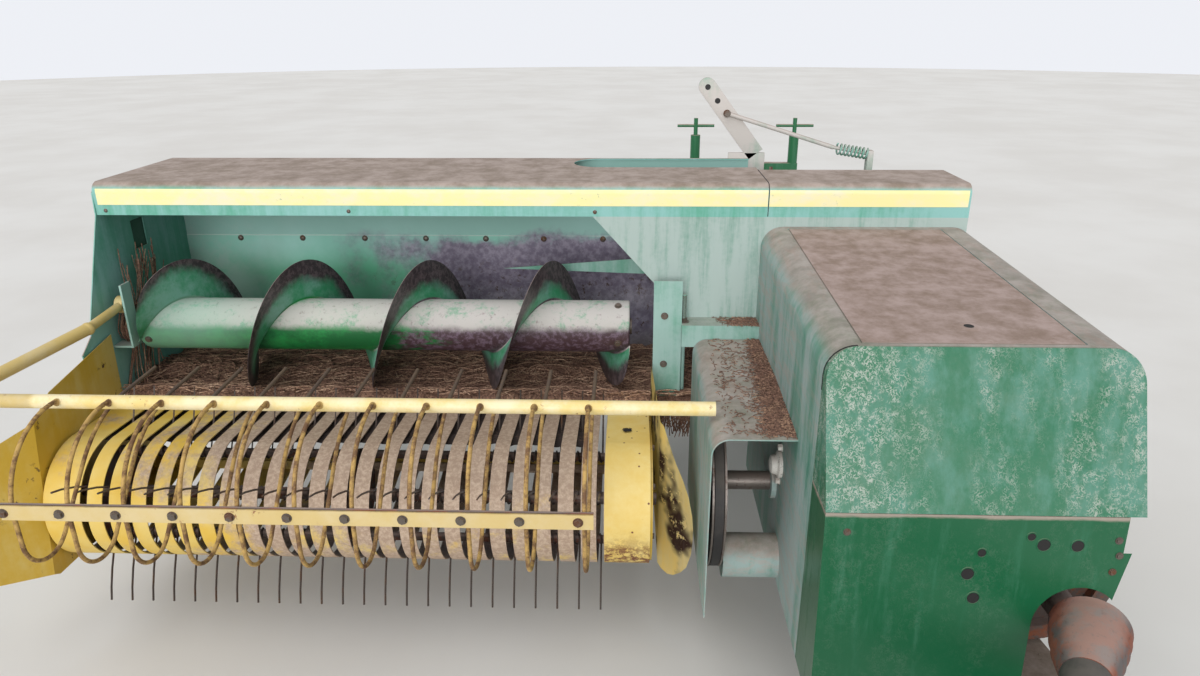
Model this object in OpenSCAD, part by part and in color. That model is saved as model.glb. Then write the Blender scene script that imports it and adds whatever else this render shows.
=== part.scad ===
// Square baler, parked on its two wheels and its tongue jack.
// Building frame: x = 0 on the centre line of the bale case, y = 0 at the front
// of the hood, z = 0 on the ground. The baler travels towards -Y, and its pickup
// is on the -X side. seated() moves it all so that the origin is at the middle
// of the footprint.

/* [Bale case] */
// Width of the bale inside the case
bale_w = 457; // [406:1:508]
// Height of the bale inside the case
bale_h = 356; // [330:1:400]
// Height of the case floor above the ground
case_floor = 500; // [470:5:540]
// Sheet thickness of the case
case_t = 5; // [4:0.5:8]
// How far the case reaches ahead of the hood's front
case_front = 500; // [460:10:540]
// Rear end of the closed case
case_rear = 1700; // [1650:10:1900]
// Rear end of the density rails
rail_rear = 2480; // [2300:10:2700]
// Size of the angle irons along the case's corners
case_angle = 40; // [30:5:50]
// Front edge of the feed opening in the case's side
feed_front = 20; // [0:5:80]
// Rear edge of the feed opening
feed_rear = 440; // [400:5:455]
// Length of the chute behind the rails
chute_l = 420; // [300:10:600]

/* [Hood and platform] */
// How far the hood reaches beyond the case's centre line on the pickup side
hood_reach = 2175; // [2000:5:2300]
// How far the hood reaches beyond the centre line on the case side
hood_near = 325; // [300:5:360]
// Height of the hood's top
hood_top = 1220; // [1190:5:1260]
// Height of the hood's front lip
hood_lip = 1127; // [1110:1:1150]
// Depth of the hood over the platform
hood_depth = 465; // [445:5:500]
// Depth of the hood over the case
hood_depth_near = 240; // [200:5:300]
// Radius of the hood's front edge
hood_round = 28; // [15:1:40]
// Thickness of the body sheets
sheet_t = 3; // [2:0.5:5]
// Length of the feeder slot in the hood's top
slot_l = 575; // [450:5:650]
// Width of the feeder slot
slot_w = 170; // [100:5:200]
// Height of the platform floor
floor_z = 570; // [560:5:580]
// Radius of the platform's bend from its back wall to its floor
trough_r = 230; // [180:5:250]
// Height of the seam in the back wall
seam_z = 956; // [900:5:1000]

/* [Auger] */
// Length of the auger tube
auger_l = 1473; // [1300:1:1550]
// Distance from the hood's far end to the tube
auger_gap = 77; // [60:1:120]
// Radius of the auger tube
auger_tube_r = 77.5; // [60:0.5:90]
// Radius over the flighting
auger_r = 195; // [170:1:200]
// Turns of flighting
auger_turns = 4; // [3:1:5]
// Place of the auger's axis behind the hood's front
auger_y = 15; // [10:1:40]
// Height of the auger's axis
auger_z = 790; // [785:1:810]

/* [Pickup] */
// Distance between two tines of a bar
tine_pitch = 59; // [56:1:62]
// Number of tines on a bar
tine_count = 24; // [20:1:24]
// Place of the reel's axis ahead of the hood's front
reel_y = -338; // [-350:1:-330]
// Height of the reel's axis
reel_z = 412; // [400:1:420]
// Radius of the circle of the tine tips
tine_tip_r = 300; // [280:1:303]
// Radius of the circle of the tine bars
tine_bar_r = 112; // [100:1:125]
// Number of tine bars
tine_bars = 4; // [3:1:6]
// Radius of a tine's wire
tine_r = 2.8; // [2:0.1:3.5]
// Radius of the stripper bands
band_r = 172; // [160:1:180]
// Width of a stripper band
band_w = 40; // [34:1:46]
// Thickness of a stripper band
band_t = 3; // [2:0.5:4]
// Width of the band at the case end
band_end_w = 120; // [80:5:140]
// Length of the far flare's front part
flare_l = 175; // [120:5:200]
// Turn of that part away from the pickup, in degrees
flare_turn = 35; // [20:1:42]

/* [Windguard] */
// Place of the pipe ahead of the hood's front
pipe_y = -580; // [-600:5:-560]
// Height of the pipe
pipe_z = 806; // [803:1:830]
// Radius of the pipe
pipe_r = 17; // [13:1:20]
// Reach of the pipe's bend beyond the hood's far end
pipe_reach = 76; // [60:1:120]
// Distance between two rods
rod_pitch = 126; // [120:1:128]
// Number of rods
rod_count = 11; // [9:1:11]
// Radius of a rod
rod_r = 5; // [4:0.5:7]
// Radius of the rods' tails round the reel
tail_r = 312; // [310:1:330]

/* [Drive shield] */
// Reach of the shield on the pickup side
shield_far = 248; // [244:1:260]
// Reach of the shield on the case side
shield_near = 345; // [335:5:370]
// Height of the shield's top at the hood
shield_top = 1100; // [1080:5:1115]
// Height of the shield's top at its front
shield_top_front = 1072; // [1060:1:1080]
// Place of the front panel's top edge
shield_brow = -852; // [-870:1:-840]
// Place of the seam between the front panels
shield_seam_y = -970; // [-985:1:-960]
// Height of that seam
shield_seam_z = 780; // [760:5:800]
// Place of the lower panel's foot
shield_foot_y = -1000; // [-1015:1:-990]
// Height of the shield's lower edge
shield_low = 330; // [300:10:400]
// Radius of the shield's upper edges
shield_round = 60; // [40:2:70]
// Width of the rim between the lid and the far wall
lid_rim_far = 68; // [62:1:90]
// Width of the rim between the lid and the near wall
lid_rim_near = 99; // [70:1:120]
// Gap round a closed lid
lid_gap = 4; // [2:0.5:6]

/* [Belt guard] */
// Width of the belt guard
guard_w = 189; // [170:1:200]
// Height of its top
guard_top = 785; // [770:1:786]
// Place of its open front end
guard_front = -690; // [-720:5:-650]
// Lower edge of its outer wall
guard_low = 300; // [280:10:360]
// Radius of its upper edge
guard_round = 42; // [20:1:50]
// Radius of the sheave inside
sheave_r = 215; // [180:1:220]

/* [Drive line] */
// Place of the input shaft beside the case's centre line
input_x = 250; // [230:5:260]
// Height of the input shaft
input_z = 545; // [535:5:560]
// Radius of the flywheel
flywheel_r = 160; // [140:5:165]
// Width of the flywheel's rim
flywheel_w = 70; // [50:5:80]
// Place of the universal joint under the tongue's swing axis
swing_y = -1040; // [-1050:5:-1030]
// Radius of the crank's throw: half the plunger's stroke
crank_r = 381; // [360:1:390]
// Angle of the crank, from the rear towards the top, in degrees
crank_turn = 140; // [120:5:150]
// Length of the connecting rod between its pins
conrod_l = 800; // [780:5:840]
// Radius of the drive shaft
pto_r = 22; // [18:1:26]
// Radius of the drive shaft's guard tube
pto_guard_r = 43; // [36:1:48]
// Length of the drive shaft
pto_l = 1330; // [1200:10:1400]

/* [Tongue] */
// Length from the swing axis to the hitch pin
tongue_l = 1500; // [1400:10:1650]
// Turn of the parked tongue towards the pickup, in degrees
tongue_turn = 29; // [20:1:32]
// Height of the tongue beam's top
tongue_top = 360; // [350:5:362]
// Width of the tongue beam
tongue_w = 90; // [70:5:110]
// Depth of the tongue beam
tongue_h = 110; // [90:5:120]
// Radius of the hitch pin's hole
hitch_r = 16.5; // [13:0.5:19]
// Place of the jack behind the hitch pin
jack_back = 330; // [280:10:400]
// Radius of the jack's outer tube
jack_r = 35; // [30:1:40]

/* [Wheels] */
// Place of the axle behind the hood's front
axle_y = 1250; // [1230:5:1300]
// Height of the axle
axle_z = 375; // [360:5:380]
// Size of the square axle tube
axle_s = 90; // [80:5:100]
// Radius of the near tyre
tyre_near_r = 375; // [360:5:385]
// Width of the near tyre
tyre_near_w = 280; // [240:5:285]
// Distance of the near wheel from the centre line
wheel_near_x = 470; // [460:5:500]
// Radius of the far tyre
tyre_far_r = 350; // [330:5:365]
// Width of the far tyre
tyre_far_w = 175; // [150:5:200]
// Distance of the far wheel from the centre line
wheel_far_x = 1920; // [1850:10:2000]
// Radius of the rims
rim_r = 190; // [180:1:200]
// Radius of the spindles
spindle_r = 22; // [18:1:28]

/* [Tying] */
// Place of the needle yoke's pivot
yoke_y = 1120; // [1110:5:1135]
// Radius of the needles' arc
needle_r = 450; // [440:5:465]
// Radius of a needle's section
needle_t = 13; // [9:1:16]
// Distance of each needle from the centre line
needle_x = 110; // [90:5:130]
// Front of the knotter cover
cover_front = 600; // [590:5:620]
// Length of the knotter cover
cover_l = 560; // [520:10:600]
// Height of the knotter cover's top
cover_top = 1060; // [1040:5:1100]
// Width of the knotter cover
cover_w = 500; // [480:5:520]
// Radius of the metering wheel
meter_r = 105; // [90:5:120]
// Distance of the metering wheel from the rear end of the case
meter_back = 310; // [240:5:315]
// Length of the twine box
twine_l = 560; // [500:10:620]
// Width of the twine box
twine_w = 340; // [280:10:380]
// Height of the twine box
twine_h = 430; // [360:10:460]

/* [Hidden] */
$fn = 48;

// Small clearance where a piece sits on, or turns in, another
seat = 0.3;
run = 0.05;
// Reach of a cut past the face that it opens
cut = 1;

case_in = bale_w / 2;
case_out = case_in + case_t;
case_top = case_floor + bale_h;
hood_far = -hood_reach;
hood_seam = -case_out;
auger_x = hood_far + sheet_t + auger_gap;
reel_pin = [reel_y, reel_z];
pick_far = hood_far - 5;
first_tine_x = pick_far + 130;
pick_near = first_tine_x + (tine_count - 1) * tine_pitch + 10 + band_end_w;
plate_t = 6;
plate_far = pick_far + 22 - plate_t - seat;
flare_t = 2;

// Ends of the footprint, from which the origin is worked out
tongue_dir = [-sin(tongue_turn), -cos(tongue_turn)];
hitch = [input_x, swing_y] + tongue_l * tongue_dir;
hitch_plate = 60;
elbow_r = pipe_r + 1.5;
reach_far = min(
    hood_far - pipe_reach - elbow_r,
    plate_far - seat - flare_l * sin(flare_turn) - flare_t * cos(flare_turn)
);
reach_near = wheel_near_x + tyre_near_w / 2;
reach_front = hitch[1] - hitch_plate;
reach_rear = rail_rear + chute_l;
middle = [(reach_far + reach_near) / 2, (reach_front + reach_rear) / 2, 0];

module seated() translate(-middle) children();

module block(low, high) translate(low) cube(high - low);

module x_bar(x0, x1, y, z, r) translate([x0, y, z]) rotate([0, 90, 0]) cylinder(h = x1 - x0, r = r);

module y_bar(y0, y1, x, z, r) translate([x, y1, z]) rotate([90, 0, 0]) cylinder(h = y1 - y0, r = r);

module bar(a, b, r) {
    way = b - a;
    translate(a) rotate([0, acos(way[2] / norm(way)), atan2(way[1], way[0])]) cylinder(h = norm(way), r = r);
}

// A plate with an outline drawn in the side view, as [y, z]
module side_plate(x, t) translate([x, 0, 0]) rotate([90, 0, 90]) linear_extrude(t) children();

// A plate with an outline drawn in the front view, as [x, z]
module front_plate(y, t) translate([0, y + t, 0]) rotate([90, 0, 0]) linear_extrude(t) children();

// Front frame and case

frame_rail_w = 60;
frame_rail_h = 100;
frame_rail_x = 150;
frame_front = -740;
frame_rear = 670;
frame_low = case_floor - case_t - frame_rail_h;
nose_far = 60;
nose_rear = -540;
swing_pin_r = 25;
swing_plate_t = 14;

module front_frame() color("darkgreen") {
    for (side = [-1, 1])
        translate([side * frame_rail_x - frame_rail_w / 2, frame_front, frame_low])
            cube([frame_rail_w, frame_rear - frame_front, frame_rail_h]);
    for (y = [frame_front + 20, frame_rear - 200])
        block([-frame_rail_x, y, frame_low + 15], [frame_rail_x, y + 60, frame_low + frame_rail_h - 15]);
    // Swing plates for the tongue, and the webs that hang them from the near rail
    for (z = [tongue_top + seat, tongue_top - tongue_h - seat - swing_plate_t])
        translate([0, 0, z]) linear_extrude(swing_plate_t) swing_outline();
    block([nose_far, frame_front, tongue_top + seat + swing_plate_t],
        [frame_rail_x + frame_rail_w / 2, nose_rear, frame_low]);
    for (x = [nose_far, frame_rail_x + 10])
        block([x, frame_front - 120, tongue_top - tongue_h - seat], [x + 20, nose_rear, tongue_top + seat]);
    translate([input_x, swing_y, tongue_top - tongue_h - seat - swing_plate_t - 20])
        cylinder(h = tongue_h + 2 * swing_plate_t + 40, r = swing_pin_r);
}

module swing_outline() {
    translate([input_x, swing_y]) circle(65);
    polygon([
        [input_x + 65, swing_y], [input_x, nose_rear], [nose_far, nose_rear],
        [nose_far, frame_front - 120], [input_x - 65, swing_y]
    ]);
}

needle_slot_w = 40;
meter_y = case_rear - meter_back;
meter_z = case_top + meter_r - 25;
meter_pin_r = 12;
meter_slot = meter_r - 15;

module bale_case() color("darkgreen") difference() {
    union() {
        difference() {
            block([-case_out, -case_front, case_floor - case_t], [case_out, case_rear, case_top + case_t]);
            block([-case_in, -case_front - cut, case_floor], [case_in, case_rear + cut, case_top]);
        }
        for (side = [-1, 1])
            translate([side > 0 ? case_out : -case_out - case_t, hood_depth + 5, case_top - case_angle + case_t])
                cube([case_t, case_rear - hood_depth - 5, case_angle]);
        // Ears and pin of the metering wheel
        for (x = [-38, 30])
            side_plate(x, 8) polygon([
                [meter_y - 70, case_top + case_t], [meter_y + 70, case_top + case_t],
                [meter_y + 22, meter_z + 22], [meter_y - 22, meter_z + 22]
            ]);
        x_bar(-38, 38, meter_y, meter_z, meter_pin_r);
        // Pins of the needle yoke
        for (side = [-1, 1])
            x_bar(side > 0 ? case_out - 2 : -yoke_in - 14, side > 0 ? yoke_in + 14 : -case_out + 2,
                yoke_y, yoke_z, yoke_pin_r);
    }
    // Feed opening on the pickup side
    block([-case_out - cut, feed_front, case_floor + 70], [-case_in + cut, feed_rear, case_top - 10]);
    // Open top over the plunger's front
    block([-case_in + 40, -case_front - cut, case_top - cut], [case_in - 40, -120, case_top + case_t + cut]);
    // Needle slots through floor and top
    for (side = [-1, 1])
        translate([side * needle_x - needle_slot_w / 2, 660, case_floor - case_t - cut])
            cube([needle_slot_w, 150, bale_h + 2 * case_t + 2 * cut]);
    // Slot for the metering wheel
    block([-20, meter_y - meter_slot, case_top - cut], [20, meter_y + meter_slot, case_top + case_t + cut]);
}

rail_s = 45;

module density_rails() color("darkgreen") {
    // Four corner rails and their cross frames
    for (sx = [-1, 1], top = [0, 1])
        block([sx > 0 ? case_in : -case_in - 8, case_rear, top ? case_top - 60 : case_floor - case_t],
            [sx > 0 ? case_in + 8 : -case_in, rail_rear, top ? case_top + case_t : case_floor + 60]);
    for (top = [0, 1])
        block([-case_in, case_rear, top ? case_top : case_floor - case_t],
            [case_in, rail_rear, top ? case_top + case_t : case_floor]);
    // Ears and pins of the chute's hinge
    for (side = [-1, 1]) {
        ear_x = side > 0 ? case_in + 4 + seat : -case_in - 4 - seat - 8;
        side_plate(ear_x, 8) polygon([
            [rail_rear - 60, case_floor], [chute_hinge[0] + 16, case_floor],
            [chute_hinge[0] + 16, case_floor + 40], [rail_rear - 60, case_floor + 60]
        ]);
        x_bar(side > 0 ? case_in - 6 : ear_x, side > 0 ? ear_x : -case_in + 6,
            chute_hinge[0], chute_hinge[1], chute_pin_r);
    }
    // Clamp frame with its two screws
    for (z = [case_floor - case_t - rail_s, case_top + case_t])
        block([-case_out - 60, rail_rear - 160, z], [case_out + 60, rail_rear - 110, z + rail_s]);
    for (side = [-1, 1])
        translate([side * (case_out + 35), rail_rear - 135, case_floor - case_t - rail_s - 20])
            cylinder(h = bale_h + 360, r = 11);
    for (side = [-1, 1])
        translate([side * (case_out + 35), rail_rear - 135, case_top + case_t + rail_s])
            cylinder(h = 150, r = 26);
    for (side = [-1, 1])
        translate([side * (case_out + 35), rail_rear - 135, case_top + case_t + rail_s + 200])
            rotate([0, 90, 0]) cylinder(h = 200, r = 8, center = true);
}

chute_hinge = [rail_rear + 30, case_floor + 12];
chute_pin_r = 7;
chute_front = rail_rear + 12;

module bale_chute() color("darkgreen") difference() {
    union() {
        block([-case_in, chute_front, case_floor - case_t], [case_in, reach_rear, case_floor]);
        for (side = [-1, 1])
            side_plate(side * (case_in + 2) - 2, 4) polygon([
                [chute_front, case_floor - case_t], [reach_rear, case_floor - case_t],
                [reach_rear, case_floor + 60], [chute_front, case_floor + 150]
            ]);
    }
    x_bar(-case_in - 5, case_in + 5, chute_hinge[0], chute_hinge[1], chute_pin_r + run);
}

// Plunger, crank and gearbox

crank_y = -560;
crank_z = case_floor + bale_h / 2 - 30;
crank_pin = [crank_y + crank_r * cos(crank_turn), crank_z + crank_r * sin(crank_turn)];
plunger_pin_z = case_floor + bale_h / 2;
plunger_pin_y = crank_pin[0] + sqrt(pow(conrod_l, 2) - pow(plunger_pin_z - crank_pin[1], 2));
plunger_l = 430;
plunger_lead = 80;
plunger_pin_r = 20;

module plunger() color("dimgray") difference() {
    block([-case_in + seat, plunger_pin_y + plunger_lead - plunger_l, case_floor + seat],
        [case_in - seat, plunger_pin_y + plunger_lead, case_top - seat]);
    block([-90, plunger_pin_y + plunger_lead - plunger_l - cut, case_floor + 40],
        [90, plunger_pin_y + 45, case_top - 15]);
    for (side = [-1, 1])
        block([side * needle_x - 20, plunger_pin_y + plunger_lead - 60, case_floor - cut],
            [side * needle_x + 20, plunger_pin_y + plunger_lead + cut, case_top + cut]);
}

crank_t = 50;
crank_x = -25;

module crank_and_rod() color("dimgray") {
    side_plate(crank_x, crank_t) {
        translate([crank_y, crank_z]) circle(75);
        translate(crank_pin) circle(48);
        translate([crank_y, crank_z]) rotate(crank_turn) translate([0, -45]) square([crank_r, 90]);
    }
    x_bar(crank_x + crank_t, gearbox_x, crank_y, crank_z, 35);
    x_bar(crank_x - 60, crank_x, crank_pin[0], crank_pin[1], 24);
    // Connecting rod beside the crank
    rod_turn = atan2(plunger_pin_z - crank_pin[1], plunger_pin_y - crank_pin[0]);
    difference() {
        side_plate(crank_x - 56, 50) {
            translate(crank_pin) circle(52);
            translate([plunger_pin_y, plunger_pin_z]) circle(40);
            translate(crank_pin) rotate(rod_turn) translate([0, -28]) square([conrod_l, 56]);
        }
        x_bar(crank_x - 61, crank_x, crank_pin[0], crank_pin[1], 24 + run);
    }
    x_bar(-90 + seat, crank_x - 56, plunger_pin_y, plunger_pin_z, plunger_pin_r);
    x_bar(crank_x - 6, 90 - seat, plunger_pin_y, plunger_pin_z, plunger_pin_r);
}

gearbox_x = 115;
gearbox_w = 215;
gearbox_h = 320;
gearbox_front = -720;
gearbox_rear = -case_front - 10;

module gearbox() color("darkgreen") difference() {
    union() {
        translate([gearbox_x, gearbox_front, case_floor - case_t])
            cube([gearbox_w, gearbox_rear - gearbox_front, gearbox_h]);
        x_bar(gearbox_x, gearbox_x + gearbox_w + 8, crank_y, crank_z, 50);
        y_bar(gearbox_front - 40, gearbox_front, input_x, input_z, 48);
    }
    y_bar(gearbox_front - 41, gearbox_front + 30, input_x, input_z, 25 + run);
}

joint_gap = 14;
joint_r = 30;

module flywheel() color("dimgray") {
    y0 = gearbox_front - 50 - flywheel_w;
    difference() {
        y_bar(y0, y0 + flywheel_w, input_x, input_z, flywheel_r);
        for (cut_y = [y0 - cut, y0 + flywheel_w - 22])
            difference() {
                y_bar(cut_y, cut_y + 23, input_x, input_z, flywheel_r - 35);
                y_bar(cut_y - cut, cut_y + 25, input_x, input_z, 60);
            }
    }
    y_bar(y0 + flywheel_w, gearbox_front + 29, input_x, input_z, 25);
    y_bar(swing_y + joint_gap, y0, input_x, input_z, joint_r);
    y_bar(swing_y, swing_y + joint_gap + 1, input_x, input_z, 10);
    translate([input_x, swing_y, input_z]) sphere(joint_gap - 0.5);
}

// Hood and platform

module hood_form(depth, inset) {
    r = hood_round - inset;
    translate([inset, hood_lip - (inset > 0 ? cut : 0)])
        square([depth + (inset > 0 ? cut : 0), hood_top - hood_round - hood_lip + (inset > 0 ? cut : 0)]);
    translate([hood_round, hood_lip - (inset > 0 ? cut : 0)])
        square([depth - hood_round + (inset > 0 ? cut : 0), hood_top - inset - hood_lip + (inset > 0 ? cut : 0)]);
    translate([hood_round, hood_top - hood_round]) circle(r);
}

module hood_section(depth) {
    difference() {
        hood_form(depth, 0);
        hood_form(depth + cut, sheet_t);
    }
    translate([sheet_t, hood_lip]) square([18, sheet_t]);
}

module hood() color("green") {
    difference() {
        side_plate(hood_far + sheet_t, hood_seam - hood_far - sheet_t) hood_section(hood_depth);
        feeder_slot();
    }
    side_plate(hood_seam, hood_near - hood_seam) {
        hood_section(hood_depth_near);
        translate([hood_depth_near - sheet_t, hood_top - 40]) square([sheet_t, 40]);
    }
    side_plate(hood_near - sheet_t, sheet_t) hood_form(hood_depth_near, 0);
}

module feeder_slot() translate([0, 0, hood_top - 2 * sheet_t]) linear_extrude(3 * sheet_t) {
    y0 = hood_depth - 12 - slot_w;
    translate([-case_in - slot_l + slot_w / 2, y0 + slot_w / 2]) circle(slot_w / 2);
    translate([-case_in - slot_l + slot_w / 2, y0]) square([slot_l, slot_w]);
}

module end_panel() color("green") side_plate(hood_far, sheet_t) difference() {
    polygon([
        [hood_depth, hood_top], [hood_round, hood_top], [0, hood_top - hood_round], [-5, hood_lip],
        [-131, 850], [-145, 805], [-200, 765], [-190, 700], [-34, floor_z], [-34, 520], [hood_depth, 520]
    ]);
    translate([150, 985]) square([70, 90]);
}

module gusset_panel() color("green") front_plate(0, sheet_t) polygon([
    [-728, hood_lip], [-496, 870], [-466, 823], [-case_out, 823], [-case_out, 930], [hood_near, 930],
    [hood_near, hood_lip]
]);

module platform() color("green") difference() {
    side_plate(hood_far + sheet_t, hood_reach - sheet_t - case_out) {
        translate([hood_depth - sheet_t, floor_z + trough_r])
            square([sheet_t, hood_top - sheet_t - floor_z - trough_r]);
        translate([hood_depth - 2 * sheet_t, floor_z + trough_r]) square([sheet_t, seam_z - floor_z - trough_r]);
        intersection() {
            difference() {
                translate([hood_depth - sheet_t - trough_r, floor_z + trough_r]) circle(trough_r + sheet_t);
                translate([hood_depth - sheet_t - trough_r, floor_z + trough_r]) circle(trough_r - sheet_t);
            }
            translate([hood_depth - sheet_t - trough_r, floor_z - sheet_t])
                square([trough_r + sheet_t, trough_r + sheet_t]);
        }
        translate([-30, floor_z - sheet_t]) square([hood_depth - sheet_t - trough_r + 30, sheet_t]);
    }
    // Room for the wall of the drive shield
    block([-shield_far - seat, -31, floor_z - sheet_t - cut], [-case_out + cut, seat, floor_z + cut]);
}

beam_low = floor_z - sheet_t - 50;
outrigger_x = -wheel_far_x + 190;
lift_pin = [60, 500];
lift_pin_r = 15;
lug_t = 8;
lug_far = pick_far + 30;
lug_near = pick_near - 6 - lug_t;

module platform_frame() color("darkgreen") {
    block([hood_far + sheet_t, 110, beam_low], [-case_out, 160, floor_z - sheet_t]);
    block([outrigger_x, 160, beam_low], [outrigger_x + 50, axle_y - axle_s / 2, beam_low + 40]);
    // Lugs and pins of the pickup
    for (x = [lug_far, lug_near])
        side_plate(x, lug_t)
            polygon([[30, 475], [95, 475], [160, beam_low], [160, 560], [110, 560], [30, 530]]);
    x_bar(plate_far - 4, lug_far, lift_pin[0], lift_pin[1], lift_pin_r);
    x_bar(lug_near + lug_t, pick_near + plate_t + 4, lift_pin[0], lift_pin[1], lift_pin_r);
    // Drop from the outrigger to the axle tube
    block([outrigger_x, axle_y - axle_s / 2 - 12, axle_z - 30], [outrigger_x + 50, axle_y - axle_s / 2, beam_low + 40]);
}

module hay_guide() color("green") {
    front_plate(250, 4) polygon([
        [-case_out - 796, 900], [-case_out - 356, 935], [-case_out, 950], [-case_out, 890],
        [-case_out - 356, 885]
    ]);
    // Flange to the back wall
    block([-case_out - 180, 253, 900], [-case_out - 60, hood_depth - 2 * sheet_t, 904]);
}

// Corners of the flighting's section at one step: inner and outer edge, front and back face
function flight_ring(at) = [
    for (corner = [[flight_root, -1], [flight_root, 1], [auger_r, 1], [auger_r, -1]])
        [
            auger_l * at + corner[1] * flight_t / 2,
            corner[0] * cos(flight_start - 360 * auger_turns * at),
            corner[0] * sin(flight_start - 360 * auger_turns * at)
        ]
];

flight_t = 4;
flight_steps = 24;
flight_start = 209;
// Root of the flighting: the middle of each step's chord stays just off the tube
flight_root = (auger_tube_r + 0.15) / cos(180 / flight_steps);

module flighting() {
    n = auger_turns * flight_steps;
    // Both broad faces are cut along the same diagonal, which keeps the sheet's thickness even
    sides = [
        for (i = [0 : n - 1], k = [0 : 3], half = [0, 1])
            let (a = 4 * i + k, b = 4 * i + (k + 1) % 4)
                k == 3 ? (half == 0 ? [a, b, a + 4] : [b, b + 4, a + 4])
                    : (half == 0 ? [a, b + 4, a + 4] : [a, b, b + 4])
    ];
    polyhedron(
        [for (i = [0 : n]) each flight_ring(i / n)],
        concat(sides, [[3, 2, 1, 0], [4 * n, 4 * n + 1, 4 * n + 2, 4 * n + 3]])
    );
}

module auger() {
    color("green") {
        x_bar(auger_x, auger_x + auger_l, auger_y, auger_z, auger_tube_r);
        x_bar(hood_far + sheet_t + seat, auger_x, auger_y, auger_z, 22);
    }
    color("darkgreen") translate([auger_x, auger_y, auger_z]) flighting();
}

// Pickup

band_rear = -36;
reel_shaft_r = 17;
cross_tube = [20, 320];
cross_tube_r = 30;
rail_y = cross_tube[0] - cross_tube_r - seat;

module band_profile() {
    intersection() {
        difference() {
            translate(reel_pin) circle(band_r);
            translate(reel_pin) circle(band_r - band_t);
        }
        translate([reel_y - band_r, reel_z - band_r]) square([band_r, 2 * band_r]);
    }
    polygon([
        [reel_y, reel_z + band_r], [reel_y, reel_z + band_r - band_t],
        [band_rear, floor_z - band_t], [band_rear, floor_z]
    ]);
    polygon([
        [reel_y, reel_z - band_r], [reel_y, reel_z - band_r + band_t],
        [rail_y, cross_tube[1] - 20 + band_t], [rail_y, cross_tube[1] - 20]
    ]);
}

module strippers() color("gold") {
    side_plate(pick_far + 22, first_tine_x - 10 - pick_far - 22) band_profile();
    for (i = [0 : tine_count - 2])
        side_plate(first_tine_x + (i + 0.5) * tine_pitch - band_w / 2, band_w) band_profile();
    side_plate(pick_near - band_end_w, band_end_w) band_profile();
    // Rails that carry the ends of the bands
    block([pick_far + 22, band_rear - 6, floor_z - band_t - 22], [pick_near, band_rear, floor_z - band_t + 1]);
    block([pick_far + 22, rail_y - 6, cross_tube[1] - 20], [pick_near, rail_y, cross_tube[1] + 10]);
}

module end_outline() {
    translate(reel_pin) circle(band_r - 8);
    polygon([
        [reel_y, reel_z + band_r - 8], [reel_y, reel_z - band_r + 8], [cross_tube[0] - 10, cross_tube[1] - 34],
        [cross_tube[0] + 34, cross_tube[1]], [lift_pin[0] + 32, lift_pin[1]],
        [lift_pin[0], lift_pin[1] + 26], [band_rear - 10, floor_z - 30]
    ]);
}

module pickup_frame() color("gold") difference() {
    union() {
        side_plate(plate_far, plate_t) end_outline();
        side_plate(pick_near + seat, plate_t) end_outline();
        x_bar(pick_far + 17, pick_near + 2, cross_tube[0], cross_tube[1], cross_tube_r);
    }
    x_bar(pick_far, pick_near + 20, reel_y, reel_z, reel_shaft_r + run);
    x_bar(pick_far, pick_near + 20, lift_pin[0], lift_pin[1], lift_pin_r + run);
}

// Far flare: a flat sheet on the pickup's far plate, bent outwards along its front
flare_top = [-450, 680];
flare_bottom = [-520, 260];

module far_flare() color("gold") {
    way = flare_bottom - flare_top;
    translate([plate_far - seat, 0, 0]) side_plate(-flare_t, flare_t) polygon([
        [-70, 782], [-370, 731], flare_top, flare_bottom, [-500, 248], [-400, 246], [-120, 330], [-80, 520]
    ]);
    translate([plate_far - seat, flare_top[0], flare_top[1]]) rotate([-atan(way[0] / way[1]), 0, 0])
        rotate([0, 0, -flare_turn]) side_plate(-flare_t, flare_t) polygon([
            [0, 0], [0, -norm(way)], [-flare_l + 40, -norm(way) + 20], [-flare_l, -norm(way) + 150],
            [-flare_l, -120], [-flare_l + 40, -60]
        ]);
}

module near_flare() color("gold") {
    translate([pick_near + plate_t + 2 * seat, -70, 0]) rotate([0, 0, 10]) side_plate(0, flare_t) hull() {
        translate([-370, 400]) circle(120);
        translate([0, 700]) circle(4);
        translate([-10, 430]) circle(10);
    }
    // Flange on the near plate
    side_plate(pick_near + plate_t + 2 * seat, flare_t)
        polygon([[-130, 430], [-60, 430], [-60, 530], [-130, 530]]);
}

module tine_reel() {
    x0 = first_tine_x - 24;
    x1 = first_tine_x + (tine_count - 1) * tine_pitch + 24;
    color("dimgray") {
        x_bar(plate_far + 1, pick_near + 20, reel_y, reel_z, reel_shaft_r);
        for (x = [x0, (x0 + x1) / 2 - 4, x1 - 8])
            x_bar(x, x + 8, reel_y, reel_z, tine_bar_r + 20);
        for (k = [0 : tine_bars - 1])
            translate([x0, reel_y, reel_z]) rotate([60 + k * 360 / tine_bars, 0, 0])
                translate([0, tine_bar_r, 0]) rotate([0, 90, 0]) cylinder(h = x1 - x0, r = 12);
    }
    color("gray") for (k = [0 : tine_bars - 1], i = [0 : tine_count - 1])
        translate([first_tine_x + i * tine_pitch, reel_y, reel_z]) rotate([60 + k * 360 / tine_bars, 0, 0])
            translate([0, tine_bar_r, 0]) rotate([-90, 0, 0])
                cylinder(h = tine_tip_r - tine_bar_r, r = tine_r, $fn = 6);
}

// Windguard

guard_pivot = [-25, 862];
guard_pin_r = 12;
post_x = hood_far + 58;
arm_knee = [post_x - 21, -200, 848];
bend_x = hood_far - pipe_reach;
pipe_end = -420;
hook_r = 75;
crown_r = 190;
rod_x0 = hood_far + 201;
rod_top = pipe_z + 10;
hook_c = reel_pin + [-395, 144];
front_line = hook_c[0] - hook_r;
crown_c = [front_line + crown_r, rod_top - crown_r];
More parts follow.
